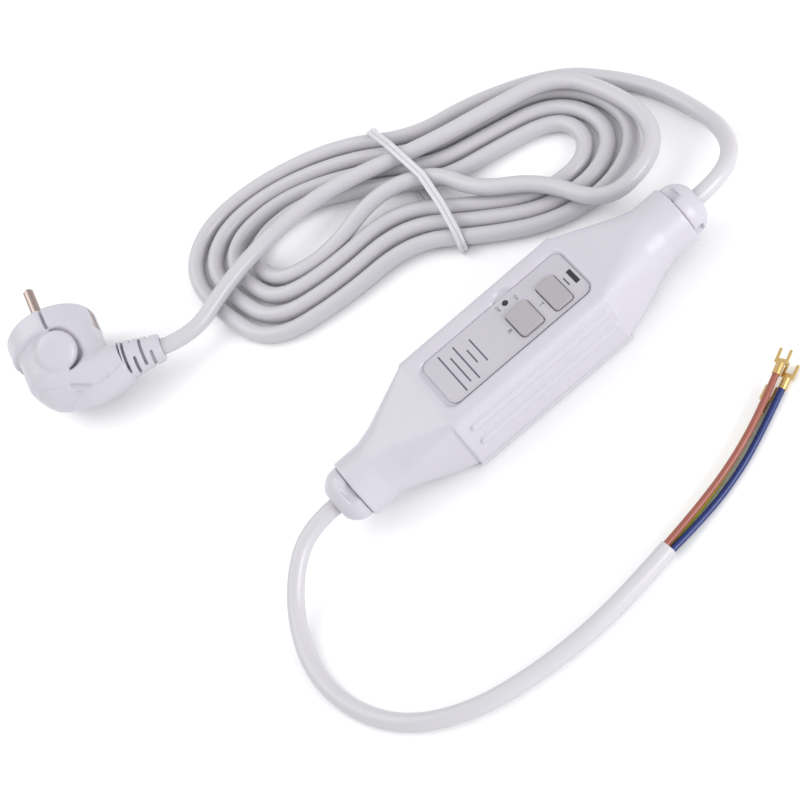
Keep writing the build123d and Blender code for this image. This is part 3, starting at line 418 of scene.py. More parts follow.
# %% Neck
# The middle line is (x, z) and the radii are (x, radius).
NECK_MIDDLE = [(-16, 24.5), (-6, 28.5), (6, 33.0), (27, 34.8)]
NECK_RADII = [(-15, 3.0), (-12, 7.0), (-8, 9.6), (0, 11.2), (6, 11.9), (12, 11.9), (20, 10.8), (27, 9.2)]
NECK_FROM, NECK_TO = -14.5, 27.0


def neck_field(x, y, z):
    """A bar along x whose radius and middle line change on the way, cut square at the sleeve."""
    bar = np.hypot(y, z - between(NECK_MIDDLE, x)) - between(NECK_RADII, x)
    return all_of(bar, x - NECK_TO, NECK_FROM - x)


# %% Finger pad
PAD_AT, PAD_TURN = (3.6, 15.4, 21.8), math.radians(25.0)
PAD_RADII = (9.3, 3.7, 9.4)
CRESCENT_RADII, CRESCENT_SHIFT, CRESCENT_FROM = (9.4, 4.6, 10.2), 1.8, 4.6


def pad_field(x, y, z, radii, shift=0.0):
    """The round pad, a flattened pebble turned about x so that it faces up and back: the sum of cubes of
    (distance from its axis / radius) and (height / half height) is one on its surface."""
    y0, z0 = y - PAD_AT[1], z - PAD_AT[2]
    rise = y0 * math.cos(PAD_TURN) + z0 * math.sin(PAD_TURN)
    back = z0 * math.cos(PAD_TURN) - y0 * math.sin(PAD_TURN)
    across = np.hypot((x - PAD_AT[0] - shift) / radii[0], back / radii[2])
    return ((across ** 3 + np.abs(rise / radii[1]) ** 3) ** (1 / 3) - 1) * radii[1]


# %% Hollows of the face and the rim
# They are the guide slots, the holes for the pins' roots and the pockets for the earth strips.
GUIDE_AT, GUIDE_HALF_W, GUIDE_DEEP, GUIDE_TO = 4.6, 0.75, 3.0, 11.2
ROOT_AT, ROOT_R, ROOT_TO = 9.5, 2.15, 7.0
STRIP_FLOOR, STRIP_HALF_W, STRIP_MIDDLE, STRIP_HALF_L = 18.9, 3.0, 6.3, 4.9


def with_hollows(body, x, y, z):
    """The body less one guide slot and one root hole above and below, and a pocket on each side."""
    for side in (-1, 1):
        guide = np.abs(x - GUIDE_AT * side) - GUIDE_HALF_W
        root = np.hypot(x, y - ROOT_AT * side) - ROOT_R
        body = soft_cut(body, all_of(guide, BAND_R - GUIDE_DEEP - y * side, z - GUIDE_TO), round_by=0.4)
        body = soft_cut(body, all_of(root, z - ROOT_TO), round_by=0.3)
    pocket = all_of(np.abs(y) - STRIP_HALF_W, np.abs(z - STRIP_MIDDLE) - STRIP_HALF_L)
    return soft_cut(body, all_of(STRIP_FLOOR - np.abs(x), pocket), round_by=0.3)


# %% The whole plug
# Its rear has a thin raised ledge, whose edge is a line of (x, z), and a short groove.
LEDGE_HIGH, LEDGE_TO = 0.7, 26.0
LEDGE_EDGE = [(-10, 33.0), (-3, 36.6), (6, 42.6), (14, 42.8), (21, 42.0), (27, 40.0)]
GROOVE_FROM, GROOVE_TO, GROOVE_R = (2.0, 10.0, 37.6), (9.5, 8.5, 42.0), 0.95
NECK_SOFT = 4.0
REST_HEIGHT = 0.15


def plug_field(x, y, z):
    """All forms of the plug joined, then the hollows taken away. The underside is flat where it rests."""
    body = soft_join(rear_field(x, y, z), band_field(x, y, z), round_by=0.4)
    body = soft_cut(body, BAND_FLAT - np.abs(x), round_by=0.6)
    body = soft_join(body, neck_field(x, y, z), round_by=NECK_SOFT)
    ledge = all_of(body - LEDGE_HIGH, between(LEDGE_EDGE, x) - z, x - LEDGE_TO)
    body = soft_join(body, ledge, round_by=0.4)
    body = soft_cut(body, capsule(x, y, z, GROOVE_FROM, GROOVE_TO, GROOVE_R), round_by=0.4)
    crescent = pad_field(x, y, z, CRESCENT_RADII, CRESCENT_SHIFT)
    body = soft_cut(body, all_of(crescent, CRESCENT_FROM - x), round_by=1.4)
    body = soft_join(body, pad_field(x, y, z, PAD_RADII), round_by=0.5)
    height = PLUG[3, 2] + PLUG[1, 2] * y + PLUG[2, 2] * z
    return cut(with_hollows(body, x, y, z), height - REST_HEIGHT)


# %% Plug moulding
PLUG_BOX, PLUG_STEP = ((-21.5, -21.5, -1.0), (28.5, 21.5, 47.5)), 0.42
plug_moulding = field_piece("plug_moulding", plug_field, PLUG_BOX, PLUG_STEP, PLUG)
fit_out(plug_moulding, "housing", "housing_white", "plug_body")

# %% [markdown]
# The sleeve keeps the cord from kinking where it leaves the plug. It bends easily because slots are cut
# nearly through it, and it stays in one piece because each slot stops short of two bridges. The bridges
# of one slot stand a quarter turn away from those of the next.

# %% Sleeve sizes
# A slot is its place along the sleeve, the number of the axis that its bridges stand on, and the cosine of
# half the angle that a bridge takes up.
SLEEVE_START, SLEEVE_END = np.array((26.2, 0.1, 34.7)), np.array((43.5, -3.0, 36.5))
SLEEVE_WIDE, SLEEVE_NARROW, SLEEVE_BORE = 9.1, 6.2, 3.75
SLOTS = [(1.4, 2, 0.97), (5.3, 1, 0.87), (9.1, 2, 0.97), (12.9, 1, 0.87)]
SLOT_HALF, SLOT_FLOOR = 0.62, 5.2


# %% Strain relief sleeve
def sleeve_field(x, y, z):
    """A cone along the line from the neck to the cord. A slot is a thin slab across it, outside the core,
    left out where the direction from the axis points at a bridge."""
    length = np.linalg.norm(SLEEVE_END - SLEEVE_START)
    along = (SLEEVE_END - SLEEVE_START) / length
    p = np.stack([x, y, z], axis=-1) - SLEEVE_START
    far = p @ along
    off = p - far[..., None] * along
    out = np.linalg.norm(off, axis=-1)
    cone = out - between([(0, SLEEVE_WIDE), (length, SLEEVE_NARROW)], far)
    body = soft_cut(all_of(cone, -far), length - far, round_by=1.0)
    for place, across, share in SLOTS:
        bridge = np.abs(off[..., across]) - share * out
        body = soft_cut(body, all_of(np.abs(far - place) - SLOT_HALF, SLOT_FLOOR - out, bridge), round_by=0.3)
    return cut(body, out - SLEEVE_BORE)


SLEEVE_BOX, SLEEVE_STEP = ((25.5, -11.5, 25.0), (46.0, 9.5, 45.0)), 0.32
sleeve = field_piece("plug_sleeve", sleeve_field, SLEEVE_BOX, SLEEVE_STEP, PLUG)
fit_out(sleeve, "housing", "housing_white", "plug_strain_relief")

# %% [markdown]
# ## The tie
# The hank is held by a glossy plastic cord wound round it twice. Its path is a loop in an upright plane that
# lies on the cords, and on top it bows out toward the housing's supply end. A ring of points stands round
# the path at each of its places, and the rings are joined into one closed tube for each winding. A curve
# would do as well, but its round bevel can't be wider than it is high, as this cord is.


# %% Tubes of rings
def tube(line, side, out, half_w, half_h, rounds):
    """Rings c + w a cos t + h n sin t: c on the line, a to its side, n outward, w half wide, h half high.
    Quads join each ring to the next, and the last ring to the first."""
    t = np.linspace(0, 2 * math.pi, rounds, endpoint=False)[None, :, None]
    rings = line[:, None] + half_w * np.cos(t) * side[:, None] + half_h * np.sin(t) * out[:, None]
    number = np.arange(len(line) * rounds).reshape(-1, rounds)
    ahead = np.roll(number, -1, axis=0)
    quads = np.stack([number, np.roll(number, -1, axis=1), np.roll(ahead, -1, axis=1), ahead], axis=-1)
    return rings.reshape(-1, 3), quads.reshape(-1, 4)


def smooth_loop(path, count, window):
    """count places at even distances along a closed path, each the mean of its window of neighbours."""
    path = np.array(path, float)
    far = np.r_[0, np.cumsum(np.linalg.norm(np.diff(path, axis=0), axis=1))]
    even = np.linspace(0, far[-1], count, endpoint=False)
    loop = np.stack([np.interp(even, far, column) for column in path.T], axis=1)
    return np.mean([np.roll(loop, k, axis=0) for k in range(-(window // 2), window // 2 + 1)], axis=0)


# %% Tie sizes
# The path is (along, height) in its plane. The bow is (along, how far it bows), and it rises from nothing
# to its full amount over the heights that TIE_BOW_RISE gives.
TIE_AT, TIE_TURN = np.array([18.0, 115.0, 0.0]), math.radians(85.43)
TIE_PATH = [(41.6, 6.2), (38.0, 10.6), (17.5, 17.9), (-8.0, 17.6), (-40.4, 10.6), (-45.1, 6.2),
            (-43.9, 0.75), (40.7, 0.75), (41.6, 6.2)]
TIE_BOW = [(-46, 0), (-40, 2.0), (-25, 4.0), (-8, 4.9), (20, 1.2), (38, -1.0), (42, 0)]
TIE_BOW_RISE = [(2, 0), (7, 1)]
TIE_PLACES, TIE_WINDOW, TIE_ROUNDS = 260, 5, 14
TIE_HALF_W, TIE_HALF_H, TIE_APART = 1.02, 0.68, 1.0


# %% Tie windings
def winding(offset):
    """One tube round the loop, moved across its plane by offset and by the bow."""
    v, z = smooth_loop(TIE_PATH, TIE_PLACES, TIE_WINDOW).T
    bow = between(TIE_BOW, v) * between(TIE_BOW_RISE, z)
    along = np.array([math.cos(TIE_TURN), math.sin(TIE_TURN), 0.0])
    across = np.array([along[1], -along[0], 0.0])
    line = TIE_AT + v[:, None] * along + (bow + offset)[:, None] * across + z[:, None] * UP
    tangent = np.roll(line, -1, axis=0) - np.roll(line, 1, axis=0)
    tangent /= np.linalg.norm(tangent, axis=1)[:, None]
    side = across - (tangent @ across)[:, None] * tangent
    side /= np.linalg.norm(side, axis=1)[:, None]
    return tube(line, side, np.cross(tangent, side), TIE_HALF_W, TIE_HALF_H, TIE_ROUNDS)


first, first_quads = winding(-TIE_APART)
second, second_quads = winding(TIE_APART)
tie_quads = np.r_[first_quads, second_quads + len(first)]
tie = mesh_piece("tie_windings", np.r_[first, second], tie_quads.tolist())
fit_out(tie, "housing", "tie_white", "hank_tie")

# %% [markdown]
# ## The housing
# The housing is a long box with round corners. Toward each end it gets narrower and lower while its corners
# grow, so the flat top runs out to a point, and it ends in a round collar. One field gives all of that: the
# distance to a rectangle with round corners whose size changes along the way. The recess for the front
# plate, the opening under the plate and the hollow inside are cut out, and two ribs stand on each side.

# %% Outer form
# Sizes are (distance from the middle along x, size), the same toward both ends.
AXIS = 17.5
HALF_WIDTHS = [(0.0, 22.06), (39.4, 22.06), (40.4, 20.6), (65.0, 14.6), (73.0, 13.25), (90.0, 13.25)]
HALF_HEIGHTS = [(0.0, 17.5), (39.4, 17.5), (40.4, 17.45), (65.0, 14.6), (73.0, 13.25), (90.0, 13.25)]
CORNERS = [(0.0, 3.4), (39.4, 3.4), (40.4, 3.0), (65.0, 12.6), (73.0, 13.25), (90.0, 13.25)]
COLLAR_END = 85.5


def body_field(x, y, z, inset=0.0):
    """The housing's outer form, moved in by inset."""
    half_w, half_h, corner = (between(row, np.abs(x)) for row in (HALF_WIDTHS, HALF_HEIGHTS, CORNERS))
    return round_box(y, z - AXIS, half_w, half_h, corner) + inset


# %% Ribs, two on each side
RIB_HEIGHTS, RIB_R, RIB_REACH = (16.6, 27.4), 1.9, 23.0
RIB_MIDDLE, RIB_HALF_L = 2.0, 34.4


def with_ribs(field, x, y, z):
    """A rib is a flat bar with round ends that goes through the whole housing and stands out as far as its
    reach on both sides."""
    for height in RIB_HEIGHTS:
        bar = np.hypot(np.maximum(np.abs(x - RIB_MIDDLE) - RIB_HALF_L, 0), z - height) - RIB_R
        field = soft_join(field, all_of(bar, np.abs(y) - RIB_REACH), round_by=0.25)
    return field


# %% Recess for the front plate
# It has a round bulge beside the status dot, and an opening under the plate.
RECESS_AT, RECESS_HALF, RECESS_CORNER, RECESS_FLOOR, RECESS_SLOPE = 1.7, (36.8, 13.2), 4.0, 33.2, 0.55
BULGE_AT, BULGE_R = (9.5, 11.6), 4.2
OPENING_AT, OPENING_HALF, OPENING_CORNER, OPENING_FLOOR = 2.5, (34.8, 12.0), 3.0, 26.0


def less_recess(field, x, y, z):
    """The recess gets wider as it rises, by its slope. The opening goes on down with upright sides."""
    recess = round_box(x - RECESS_AT, y, *RECESS_HALF, RECESS_CORNER)
    bulge = np.hypot(x - BULGE_AT[0], y - BULGE_AT[1]) - BULGE_R
    recess = soft_join(recess, bulge, round_by=1.5) - RECESS_SLOPE * (z - RECESS_FLOOR)
    field = soft_cut(field, all_of(recess, RECESS_FLOOR - z), round_by=0.9)
    opening = round_box(x - OPENING_AT, y, *OPENING_HALF, OPENING_CORNER)
    return cut(field, all_of(opening, OPENING_FLOOR - z))


# %% Hollow, gland seats and the bottom cover's place
# The hollow leaves eight columns standing for the screws. A column is (x, y, radius), once in each quarter.
WALL, HOLLOW_HALF_L = 2.3, 64.0
COLUMNS = [(45.0, 11.0, 3.6), (31.0, 13.9, 2.2)]
GLAND_SEAT_R, GLAND_SEAT_FROM = 9.2, 63.0
COVER_TOP, COVER_HALF_L = 4.5, 58.0


def less_inside(field, x, y, z):
    """The hollow is the outer form moved in by the wall, less the columns. The seats are round bars along
    the axis at both ends, and the cover's place is a slab under the middle."""
    hollow = all_of(body_field(x, y, z, WALL), np.abs(x) - HOLLOW_HALF_L)
    for half_x, half_y, radius in COLUMNS:
        hollow = cut(hollow, np.hypot(np.abs(x) - half_x, np.abs(y) - half_y) - radius)
    field = cut(field, hollow)
    field = cut(field, all_of(np.hypot(y, z - AXIS) - GLAND_SEAT_R, GLAND_SEAT_FROM - np.abs(x)))
    return cut(field, all_of(z - COVER_TOP, np.abs(x) - COVER_HALF_L))


# %% Housing skin
def housing_field(x, y, z):
    """The outer form with its ribs, ended at the collars, less the recess and all that is inside."""
    field = with_ribs(body_field(x, y, z), x, y, z)
    field = soft_cut(field, COLLAR_END - np.abs(x), round_by=0.8)
    return less_inside(less_recess(field, x, y, z), x, y, z)


HOUSING_BOX, HOUSING_STEP = ((-86.5, -23.6, -1.0), (86.5, 23.6, 36.4)), 0.68
skin = field_piece("housing_skin", housing_field, HOUSING_BOX, HOUSING_STEP)
fit_out(skin, "housing", "housing_white", "upper_housing")

# %% [markdown]
# ## The gland caps
# A gland cap screws into the collar and squeezes a rubber ring round the cord. It is a turned dome with a
# spigot, and a pin spanner grips it by three shallow pockets in its rim. The same field serves both ends:
# the cap at the load's end is mirrored, and each is turned as far as its thread let it go.

# %% Gland cap sizes
# The dome's line is (x, radius). A cap is its name, its end of the x axis and its turn in radians.
DOME = [(87.6, 12.0), (89.0, 11.85), (90.4, 11.4), (92.0, 10.5), (93.4, 9.4), (94.6, 8.0), (95.4, 6.4)]
DOME_FROM, DOME_TO, DOME_SCALE = 85.6, 95.4, 0.8
SPIGOT_R, SPIGOT_FROM, SPIGOT_TO = 9.1, 74.0, 87.0
POCKETS, POCKET_AT, POCKET_R, POCKET_TO = 3, 16.2, 6.7, 89.8
CAP_BORE = 4.05
CAPS = [("supply", 1, 0.15), ("load", -1, -0.62)]


# %% Gland caps
def cap_field(x, y, z, turn):
    """The radius follows the dome's line along x. Each pocket is a round bar beside it, of which only the
    edge bites into the rim."""
    out = np.hypot(y, z)
    body = all_of((out - between(DOME, x)) * DOME_SCALE, DOME_FROM - x, x - DOME_TO)
    for i in range(POCKETS):
        a = turn + 2 * math.pi * i / POCKETS
        pocket = np.hypot(y - POCKET_AT * math.sin(a), z - POCKET_AT * math.cos(a)) - POCKET_R
        body = soft_cut(body, all_of(pocket, x - POCKET_TO), round_by=0.9)
    body = np.minimum(body, all_of(out - SPIGOT_R, SPIGOT_FROM - x, x - SPIGOT_TO))
    return cut(body, out - CAP_BORE)


CAP_BOX, CAP_STEP = ((72.9, -12.9, -12.9), (96.4, 12.9, 12.9)), 0.5
for name, end, turn in CAPS:
    cap_place = np.array([[end, 0, 0], [0, 1, 0], [0, 0, 1], [0, 0, AXIS]], float)
    cap = field_piece("gland_cap_skin_" + name, cap_field, CAP_BOX, CAP_STEP, cap_place, turn=turn)
    fit_out(cap, "housing", "housing_white", "gland_cap_" + name)

# %% [markdown]
# ## Printing on the front plate
# The words on a front plate are pad printed, a film of ink with no thickness to speak of. Here the print is
# kept plain: ON and OFF at the status dot, one letter at each button, a short line at the lamp and five
# ruled lines at the other end. Each mark is a flat shape just above the plate, and the text reads across
# the housing.

# %% Marks
# A rule is (x, its two ends in y), and a word is (text, size, x, y).
INK_Z = 34.03
RULE_WIDTH = 0.7
RULES = [(-11.5, -6.5, 7.5), (-15.0, -4.0, 4.2), (-18.5, -10.5, 10.0), (-22.0, -9.0, 6.5),
         (-25.5, -11.3, 11.0), (32.6, -4.3, 0.2)]
WORDS = [("T", 3.0, 19.0, -2.6), ("R", 3.0, 2.6, -2.7), ("ON", 1.8, 13.6, 8.4), ("OFF", 1.8, 5.0, 9.6)]


def rules():
    """One quad for each ruled line: its four corners lie half a line's width before and behind its x."""
    x, y0, y1 = np.array(RULES).T
    before, behind = x - RULE_WIDTH / 2, x + RULE_WIDTH / 2
    corners = [(before, y0), (behind, y0), (behind, y1), (before, y1)]
    points = np.stack([np.stack([a, b, np.full(len(x), INK_Z)], axis=1) for a, b in corners], axis=1)
    return points.reshape(-1, 3), np.arange(4 * len(x)).reshape(-1, 4).tolist()


def lettering(text, size, x, y):
    """The faces of a text, turned to read toward -y: a point (u, v) of the text goes to (x + v, y - u)."""
    data = bpy.data.curves.new("lettering", "FONT")
    data.body, data.size, data.align_x, data.align_y = text, size, "CENTER", "CENTER"
    holder = bpy.data.objects.new("lettering", data)
    mesh = bpy.data.meshes.new_from_object(holder)
    flat = np.empty(len(mesh.vertices) * 3)
    mesh.vertices.foreach_get("co", flat)
    u, v, _ = flat.reshape(-1, 3).T
    faces = [list(face.vertices) for face in mesh.polygons]
    bpy.data.objects.remove(holder)
    return np.stack([x + v, y - u, np.full(len(u), INK_Z)], axis=1), faces


# %% Printing
# All marks are one flat mesh. It is fitted out with the slot name of the black windows, but has an ink of its
# own.
ink_points, ink_faces = rules()
for row in WORDS:
    more_points, more_faces = lettering(*row)
    ink_faces += [[i + len(ink_points) for i in face] for face in more_faces]
    ink_points = np.r_[ink_points, more_points]
printing = mesh_piece("printing", ink_points, ink_faces, smooth=False)
fit_out(printing, "housing", "window_black", finish="ink")

# %% [markdown]
# ## Springs
# Each button and the trip plunger has a small spring of round steel wire, wound on a rod. A spring gets
# shorter when its piece is pressed. Here each one is a fixed coil from its lower seat to its upper seat, and
# rides on the housing.

# %% Springs
# A spring is its node, joint, x, y, lower seat, upper seat, inner radius and the share of its height that
# it keeps when its joint is at the limit.
SPRINGS = [("test_spring", "test_press", 26.0, -2.6, 24.0, 29.9, 2.5, 0.78),
           ("reset_spring", "reset_press", 10.5, -2.75, 24.0, 29.9, 2.5, 0.69),
           ("plunger_spring", "plunger_pull", -9.5, -13.86, 22.8, 27.3, 2.4, 0.44)]
WIRE_R, WIRE_ROUNDS = 0.34, 8
TURNS, RINGS_A_TURN = 3, 32


def coil(x, y, low, high, radius):
    """A tube along a helix (x + r cos t, y + r sin t, z), where z rises evenly from seat to seat. The tube's
    last quads would join its ends, so they are left out, and a face closes each end."""
    t = np.linspace(0, 2 * math.pi * TURNS, RINGS_A_TURN * TURNS)
    out = np.stack([np.cos(t), np.sin(t), np.zeros(len(t))], axis=1)
    line = np.array([x, y, 0.0]) + (radius + WIRE_R) * out
    line[:, 2] = np.linspace(low + WIRE_R, high - WIRE_R, len(t))
    points, quads = tube(line, np.tile(UP, (len(t), 1)), out, WIRE_R, WIRE_R, WIRE_ROUNDS)
    ends = np.stack([np.arange(WIRE_ROUNDS)[::-1], np.arange(WIRE_ROUNDS) + len(points) - WIRE_ROUNDS])
    return points, quads[:-WIRE_ROUNDS].tolist() + ends.tolist()


for node_name, joint, x, y, low, high, radius, keep in SPRINGS:
    spring = mesh_piece(node_name + "_coil", *coil(x, y, low, high, radius))
    fit_out(spring, "housing", "steel", node_name)
    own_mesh(spring)

# %% [markdown]
# ## Shared effects
# Two effects turn up in nearly every finish, so each is a node group. Moulded and bent edges are never
# knife sharp: the first group rounds the shading at edges and marks where they are, for wear.
# No surface is one flat colour either: the second gives slow variation in shade, small changes in
# gloss and a fine grain.


# %% Group tools
def new_group(name, inputs, outputs):
    """An empty shader group with named sockets. Each socket is a name, a type and a starting value."""
    group = bpy.data.node_groups.new(name, "ShaderNodeTree")
    for way, sockets in (("INPUT", inputs), ("OUTPUT", outputs)):
        for label, kind, value in sockets:
            socket = group.interface.new_socket(label, in_out=way, socket_type="NodeSocket" + kind)
            if value is not None:
                socket.default_value = value
    return group, group.nodes.new("NodeGroupInput"), group.nodes.new("NodeGroupOutput")


def node(tree, kind, links=(), **values):
    """A node with its properties or inputs set by name, and its inputs linked from (name, socket) pairs."""
    new = tree.nodes.new(kind)
    for key, value in values.items():
        if hasattr(new, key):
            setattr(new, key, value)
        else:
            new.inputs[key.replace("_", " ")].default_value = value
    for key, source in links:
        tree.links.new(source, new.inputs[key])
    return new


# %% Edges
EDGE_SAMPLES, EDGE_NONE, EDGE_FULL = 6, 1.0, 0.75


def edge_group():
    """Normal is the rounded normal. Edge rises from zero to one as the dot product of the rounded and true
    normals falls from one to its full value."""
    group, given, out = new_group("rounded_edges", [("Radius", "Float", 0.0005)],
                                  [("Normal", "Vector", None), ("Edge", "Float", None)])
    bevel = node(group, "ShaderNodeBevel", [("Radius", given.outputs["Radius"])], samples=EDGE_SAMPLES)
    true = node(group, "ShaderNodeNewGeometry")
    normals = [(0, bevel.outputs[0]), (1, true.outputs["Normal"])]
    dot = node(group, "ShaderNodeVectorMath", normals, operation="DOT_PRODUCT")
    edge = node(group, "ShaderNodeMapRange", [("Value", dot.outputs["Value"])],
                From_Min=EDGE_NONE, From_Max=EDGE_FULL)
    group.links.new(bevel.outputs[0], out.inputs["Normal"])
    group.links.new(edge.outputs[0], out.inputs["Edge"])
    return group


# %% Grain
GLOSS_FINER = 5.0
FINE_SCALE, FINE_HEIGHT = 1800.0, 0.0001


def grain_group():
    """Shade is slow noise. Gloss is middling noise. Normal is the given normal, dented by fine noise."""
    group, given, out = new_group(
        "surface_grain",
        [("Vector", "Vector", None), ("Scale", "Float", 60.0), ("Depth", "Float", 0.1),
         ("Normal", "Vector", None)],
        [("Shade", "Float", None), ("Gloss", "Float", None), ("Normal", "Vector", None)])
    spot, scale = ("Vector", given.outputs["Vector"]), given.outputs["Scale"]
    shade = node(group, "ShaderNodeTexNoise", [spot, ("Scale", scale)], Detail=3.0)
    finer = node(group, "ShaderNodeMath", [(0, scale)], operation="MULTIPLY")
    finer.inputs[1].default_value = GLOSS_FINER
    gloss = node(group, "ShaderNodeTexNoise", [spot, ("Scale", finer.outputs[0])], Detail=4.0)
    fine = node(group, "ShaderNodeTexNoise", [spot], Scale=FINE_SCALE, Detail=2.0)
    dents = [("Strength", given.outputs["Depth"]), ("Height", fine.outputs[0]),
             ("Normal", given.outputs["Normal"])]
    bump = node(group, "ShaderNodeBump", dents, Distance=FINE_HEIGHT)
    group.links.new(shade.outputs[0], out.inputs["Shade"])
    group.links.new(gloss.outputs[0], out.inputs["Gloss"])
    group.links.new(bump.outputs[0], out.inputs["Normal"])
    return group


EDGES, GRAIN = edge_group(), grain_group()
print("groups", EDGES.name, GRAIN.name)

# %% [markdown]
# ## Finishes
# The mouldings are pigmented PVC and nylon: no coat, a soft gloss from the mould, and a colour that leans a
# little to violet under this light. Two close greys tell the body and the buttons apart, and the front
# plate's darker grey is painted shade, the shade of the recess that the plate lies in. Each finish is the
# same tree with
# its own numbers: two shades that the slow noise mixes, a lighter one for worn edges, and a roughness that
# swings a little either way. One recipe keeps all the pieces in one family.

# %% Finish maker
MIX_A, MIX_B, MIX_RESULT = 6, 7, 2
ROUGH_SWING = 0.15


def finish_of(name, base, deep, worn, rough, metallic=0.0, radius=0.4, scale=60.0, depth=0.1):
    """base and deep are mixed by the slow shade, worn goes on the edges, and roughness swings by the gloss.
    radius is the rounding of the edges in millimetres. A greater scale makes the noise finer, and depth is
    the strength of the grain."""
    material = bpy.data.materials.new(name)
    material.use_nodes = True
    tree = material.node_tree
    shader = tree.nodes["Principled BSDF"]
    spot = node(tree, "ShaderNodeTexCoord").outputs["Object"]
    edges = node(tree, "ShaderNodeGroup", node_tree=EDGES)
    edges.inputs["Radius"].default_value = radius * MM
    grain = node(tree, "ShaderNodeGroup", [("Vector", spot)], node_tree=GRAIN)
    tree.links.new(edges.outputs["Normal"], grain.inputs["Normal"])
    grain.inputs["Scale"].default_value = scale
    grain.inputs["Depth"].default_value = depth
    shades = node(tree, "ShaderNodeMix", [(0, grain.outputs["Shade"])], data_type="RGBA")
    shades.inputs[MIX_A].default_value = (*deep, 1)
    shades.inputs[MIX_B].default_value = (*base, 1)
    wear = node(tree, "ShaderNodeMix", [(0, edges.outputs["Edge"])], data_type="RGBA")
    wear.inputs[MIX_B].default_value = (*worn, 1)
    tree.links.new(shades.outputs[MIX_RESULT], wear.inputs[MIX_A])
    tree.links.new(wear.outputs[MIX_RESULT], shader.inputs["Base Color"])
    swing = node(tree, "ShaderNodeMapRange", [("Value", grain.outputs["Gloss"])],
                 To_Min=rough * (1 - ROUGH_SWING), To_Max=rough * (1 + ROUGH_SWING))
    tree.links.new(swing.outputs[0], shader.inputs["Roughness"])
    tree.links.new(grain.outputs["Normal"], shader.inputs["Normal"])
    shader.inputs["Metallic"].default_value = metallic
    return material


# %% Mouldings, plate, buttons and cords
FINISHES = {
    "housing_white": dict(base=(.50, .486, .54), deep=(.475, .46, .515), worn=(.60, .59, .63), rough=.34,
                          radius=.6, depth=.05),
    # The plate's finish is the housing's white darkened by painted shade, the shade that falls in the recess
    # round the plate.
    "plate_painted_shade": dict(base=(.44, .425, .475), deep=(.415, .40, .45), worn=(.52, .51, .55), rough=.36,
                        depth=.05),
    "button_grey": dict(base=(.345, .33, .35), deep=(.32, .305, .325), worn=(.44, .42, .44), rough=.36,
                        radius=.5),
    "window_black": dict(base=(.012, .012, .02), deep=(.02, .02, .03), worn=(.05, .05, .06), rough=.16,
                         radius=.2, depth=0),
    "cord_white": dict(base=(.51, .50, .53), deep=(.48, .47, .50), worn=(.54, .53, .56), rough=.30,
                       radius=.2, scale=30, depth=.06),
    "tie_white": dict(base=(.60, .59, .62), deep=(.56, .55, .59), worn=(.66, .66, .68), rough=.14, radius=.2),
    "core_brown_skin": dict(base=(.29, .085, .06), deep=(.24, .065, .045), worn=(.36, .13, .09), rough=.3,
                            radius=.2),
    "core_blue_skin": dict(base=(.004, .022, .155), deep=(.003, .014, .11), worn=(.015, .045, .22), rough=.28,
                           radius=.2),
    "core_earth_skin": dict(base=(.45, .48, .02), deep=(.40, .42, .02), worn=(.5, .5, .1), rough=.3,
                            radius=.2),
    "ink": dict(base=(.10, .095, .12), deep=(.075, .07, .095), worn=(.14, .13, .16), rough=.5,
                radius=.1, depth=0),
}

# %% Metals
FINISHES |= {
    "brass": dict(base=(.66, .49, .22), deep=(.54, .36, .14), worn=(.82, .67, .38), rough=.3, metallic=1.0,
                  radius=.2, depth=.2),
    "nickel": dict(base=(.38, .31, .285), deep=(.30, .24, .22), worn=(.52, .45, .42), rough=.30, metallic=1.0,
                   radius=.3, depth=.05),
    "steel": dict(base=(.55, .56, .58), deep=(.46, .47, .49), worn=(.7, .7, .7), rough=.32, metallic=1.0,
                  radius=.2, depth=.2),
    "copper": dict(base=(.70, .28, .12), deep=(.5, .18, .07), worn=(.85, .5, .3), rough=.3, metallic=1.0,
                   radius=.2, depth=.3),
}

# %% What is inside
FINISHES |= {
    "ferrite": dict(base=(.06, .06, .065), deep=(.04, .04, .045), worn=(.1, .1, .1), rough=.5,
                    radius=.3, depth=.3),
    "board_green": dict(base=(.015, .13, .05), deep=(.01, .09, .03), worn=(.2, .3, .15), rough=.3, radius=.2),
    "inner_plastic": dict(base=(.025, .025, .028), deep=(.02, .02, .022), worn=(.06, .06, .06), rough=.4,
                          radius=.3),
    "flag_red": dict(base=(.55, .02, .015), deep=(.45, .015, .01), worn=(.65, .08, .06), rough=.3, radius=.2),
    "seal_rubber": dict(base=(.02, .02, .02), deep=(.012, .012, .012), worn=(.03, .03, .03), rough=.6,
                        radius=.3, depth=.3),
    "lamp_clear": dict(base=(.6, .05, .03), deep=(.5, .04, .02), worn=(.7, .15, .1), rough=.15, radius=.3),
    "varistor_blue": dict(base=(.02, .08, .35), deep=(.015, .06, .28), worn=(.1, .2, .5), rough=.3,
                          radius=.3),
    "capacitor_yellow": dict(base=(.65, .38, .03), deep=(.55, .3, .02), worn=(.7, .5, .1), rough=.35),
}
finishes = {name: finish_of(name, **values) for name, values in FINISHES.items()}
print("finishes", len(finishes))

# %% [markdown]
# ## Dressing
# Each solid of the frame names its material slot in the record, and takes the finish of that name. The new
# pieces take the finish that they were fitted out with. Finishes go on last, so a piece made anywhere above
# needs no finish to exist yet.

# %% Dress the solids and the new pieces
for part in frame["record"]["subparts"]:
    solid = frame["nodes"][part["node"]]
    for holder in solid.material_slots:
        holder.material = finishes[part["material_slot"]]
    if not solid.material_slots:
        solid.data.materials.append(finishes[part["material_slot"]])
for piece, name in new_pieces:
    piece.data.materials.append(finishes[name])

# The front plate shares the housing's slot, but its finish is darker than the housing's: painted shade, for
# the shade of the recess that the plate sits in.
frame["nodes"]["fascia_panel"].material_slots[0].material = finishes["plate_painted_shade"]

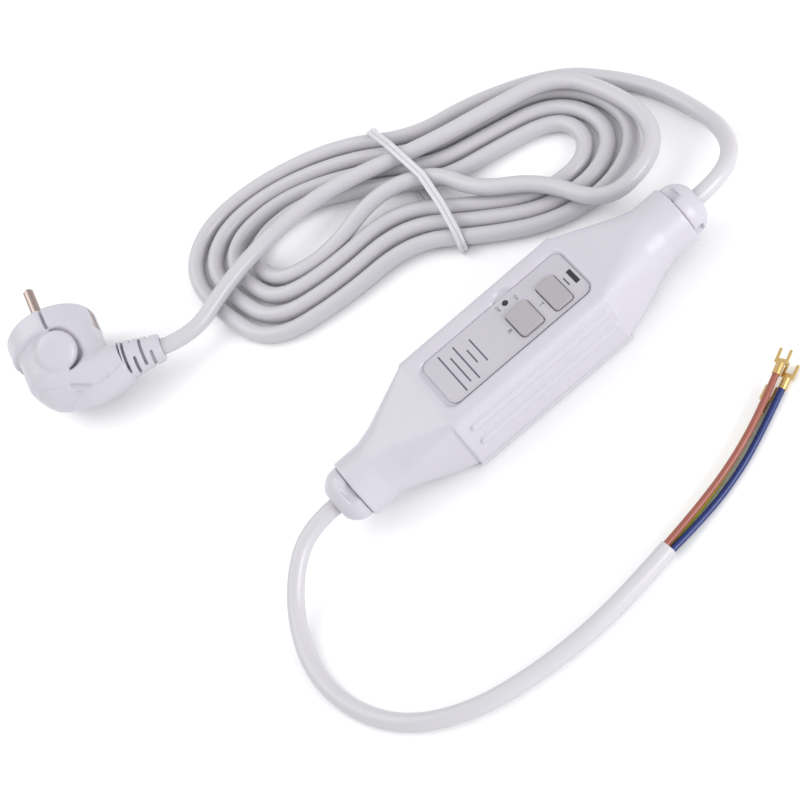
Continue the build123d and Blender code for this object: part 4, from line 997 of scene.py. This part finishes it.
# %% [markdown]
# ## Floor and light
# The floor is a plain pale sheet. One large soft lamp stands behind and above, a second one low at the
# front right, which lifts the long side of the housing, and a bright even sky fills the rest. Such light
# leaves only faint shadows, as on a product picture taken on a white table.

# %% Floor
FLOOR_HALF = 6.0


def floor_sheet(half):
    """A flat square at height zero, with corners half a side from the origin each way."""
    data = bpy.data.meshes.new("floor")
    corners = [(-half, -half, 0), (half, -half, 0), (half, half, 0), (-half, half, 0)]
    data.from_pydata(corners, [], [(0, 1, 2, 3)])
    return put_in("floor", data)


floor = floor_sheet(FLOOR_HALF)
paper = bpy.data.materials.new("paper")
paper.use_nodes = True
paper_shader = paper.node_tree.nodes["Principled BSDF"]
paper_shader.inputs["Base Color"].default_value = (0.93, 0.93, 0.94, 1)
paper_shader.inputs["Roughness"].default_value = 0.9
floor.data.materials.append(paper)
print("floor", 2 * FLOOR_HALF, "m wide")


# %% Lamps
def lamp(name, spot, size, power, aim=(0.0, 0.03, 0.0)):
    """A square area lamp at spot. A lamp shines along its own -z, so z points away from aim."""
    data = bpy.data.lights.new(name, "AREA")
    data.shape, data.size, data.energy = "SQUARE", size, power
    away = np.array(spot) - np.array(aim)
    away = away / np.linalg.norm(away)
    side = np.cross(UP, away)
    side = side / np.linalg.norm(side)
    light = put_in(name, data)
    light.matrix_world = stand(side, np.cross(away, side), away, spot)
    return light


lamp("key", spot=(0.75, -1.3, 0.6), size=0.9, power=17.0)
lamp("back", spot=(-0.7, 0.9, 1.1), size=1.2, power=9.0)
print("lamps key and back")

# %% Sky
# The Standard view shows colours as they are, with no film curve.
SKY_STRENGTH = 0.92
world = bpy.data.worlds.new("sky")
bpy.context.scene.world = world
world.use_nodes = True
sky = world.node_tree.nodes["Background"]
sky.inputs["Color"].default_value = (1.0, 1.0, 1.0, 1)
sky.inputs["Strength"].default_value = SKY_STRENGTH
bpy.context.scene.view_settings.view_transform = "Standard"
print("lights set, sky strength", SKY_STRENGTH)

# %% [markdown]
# ## Close
# The last line brings the scene's matrices up to date.

# %% Close
bpy.context.view_layer.update()
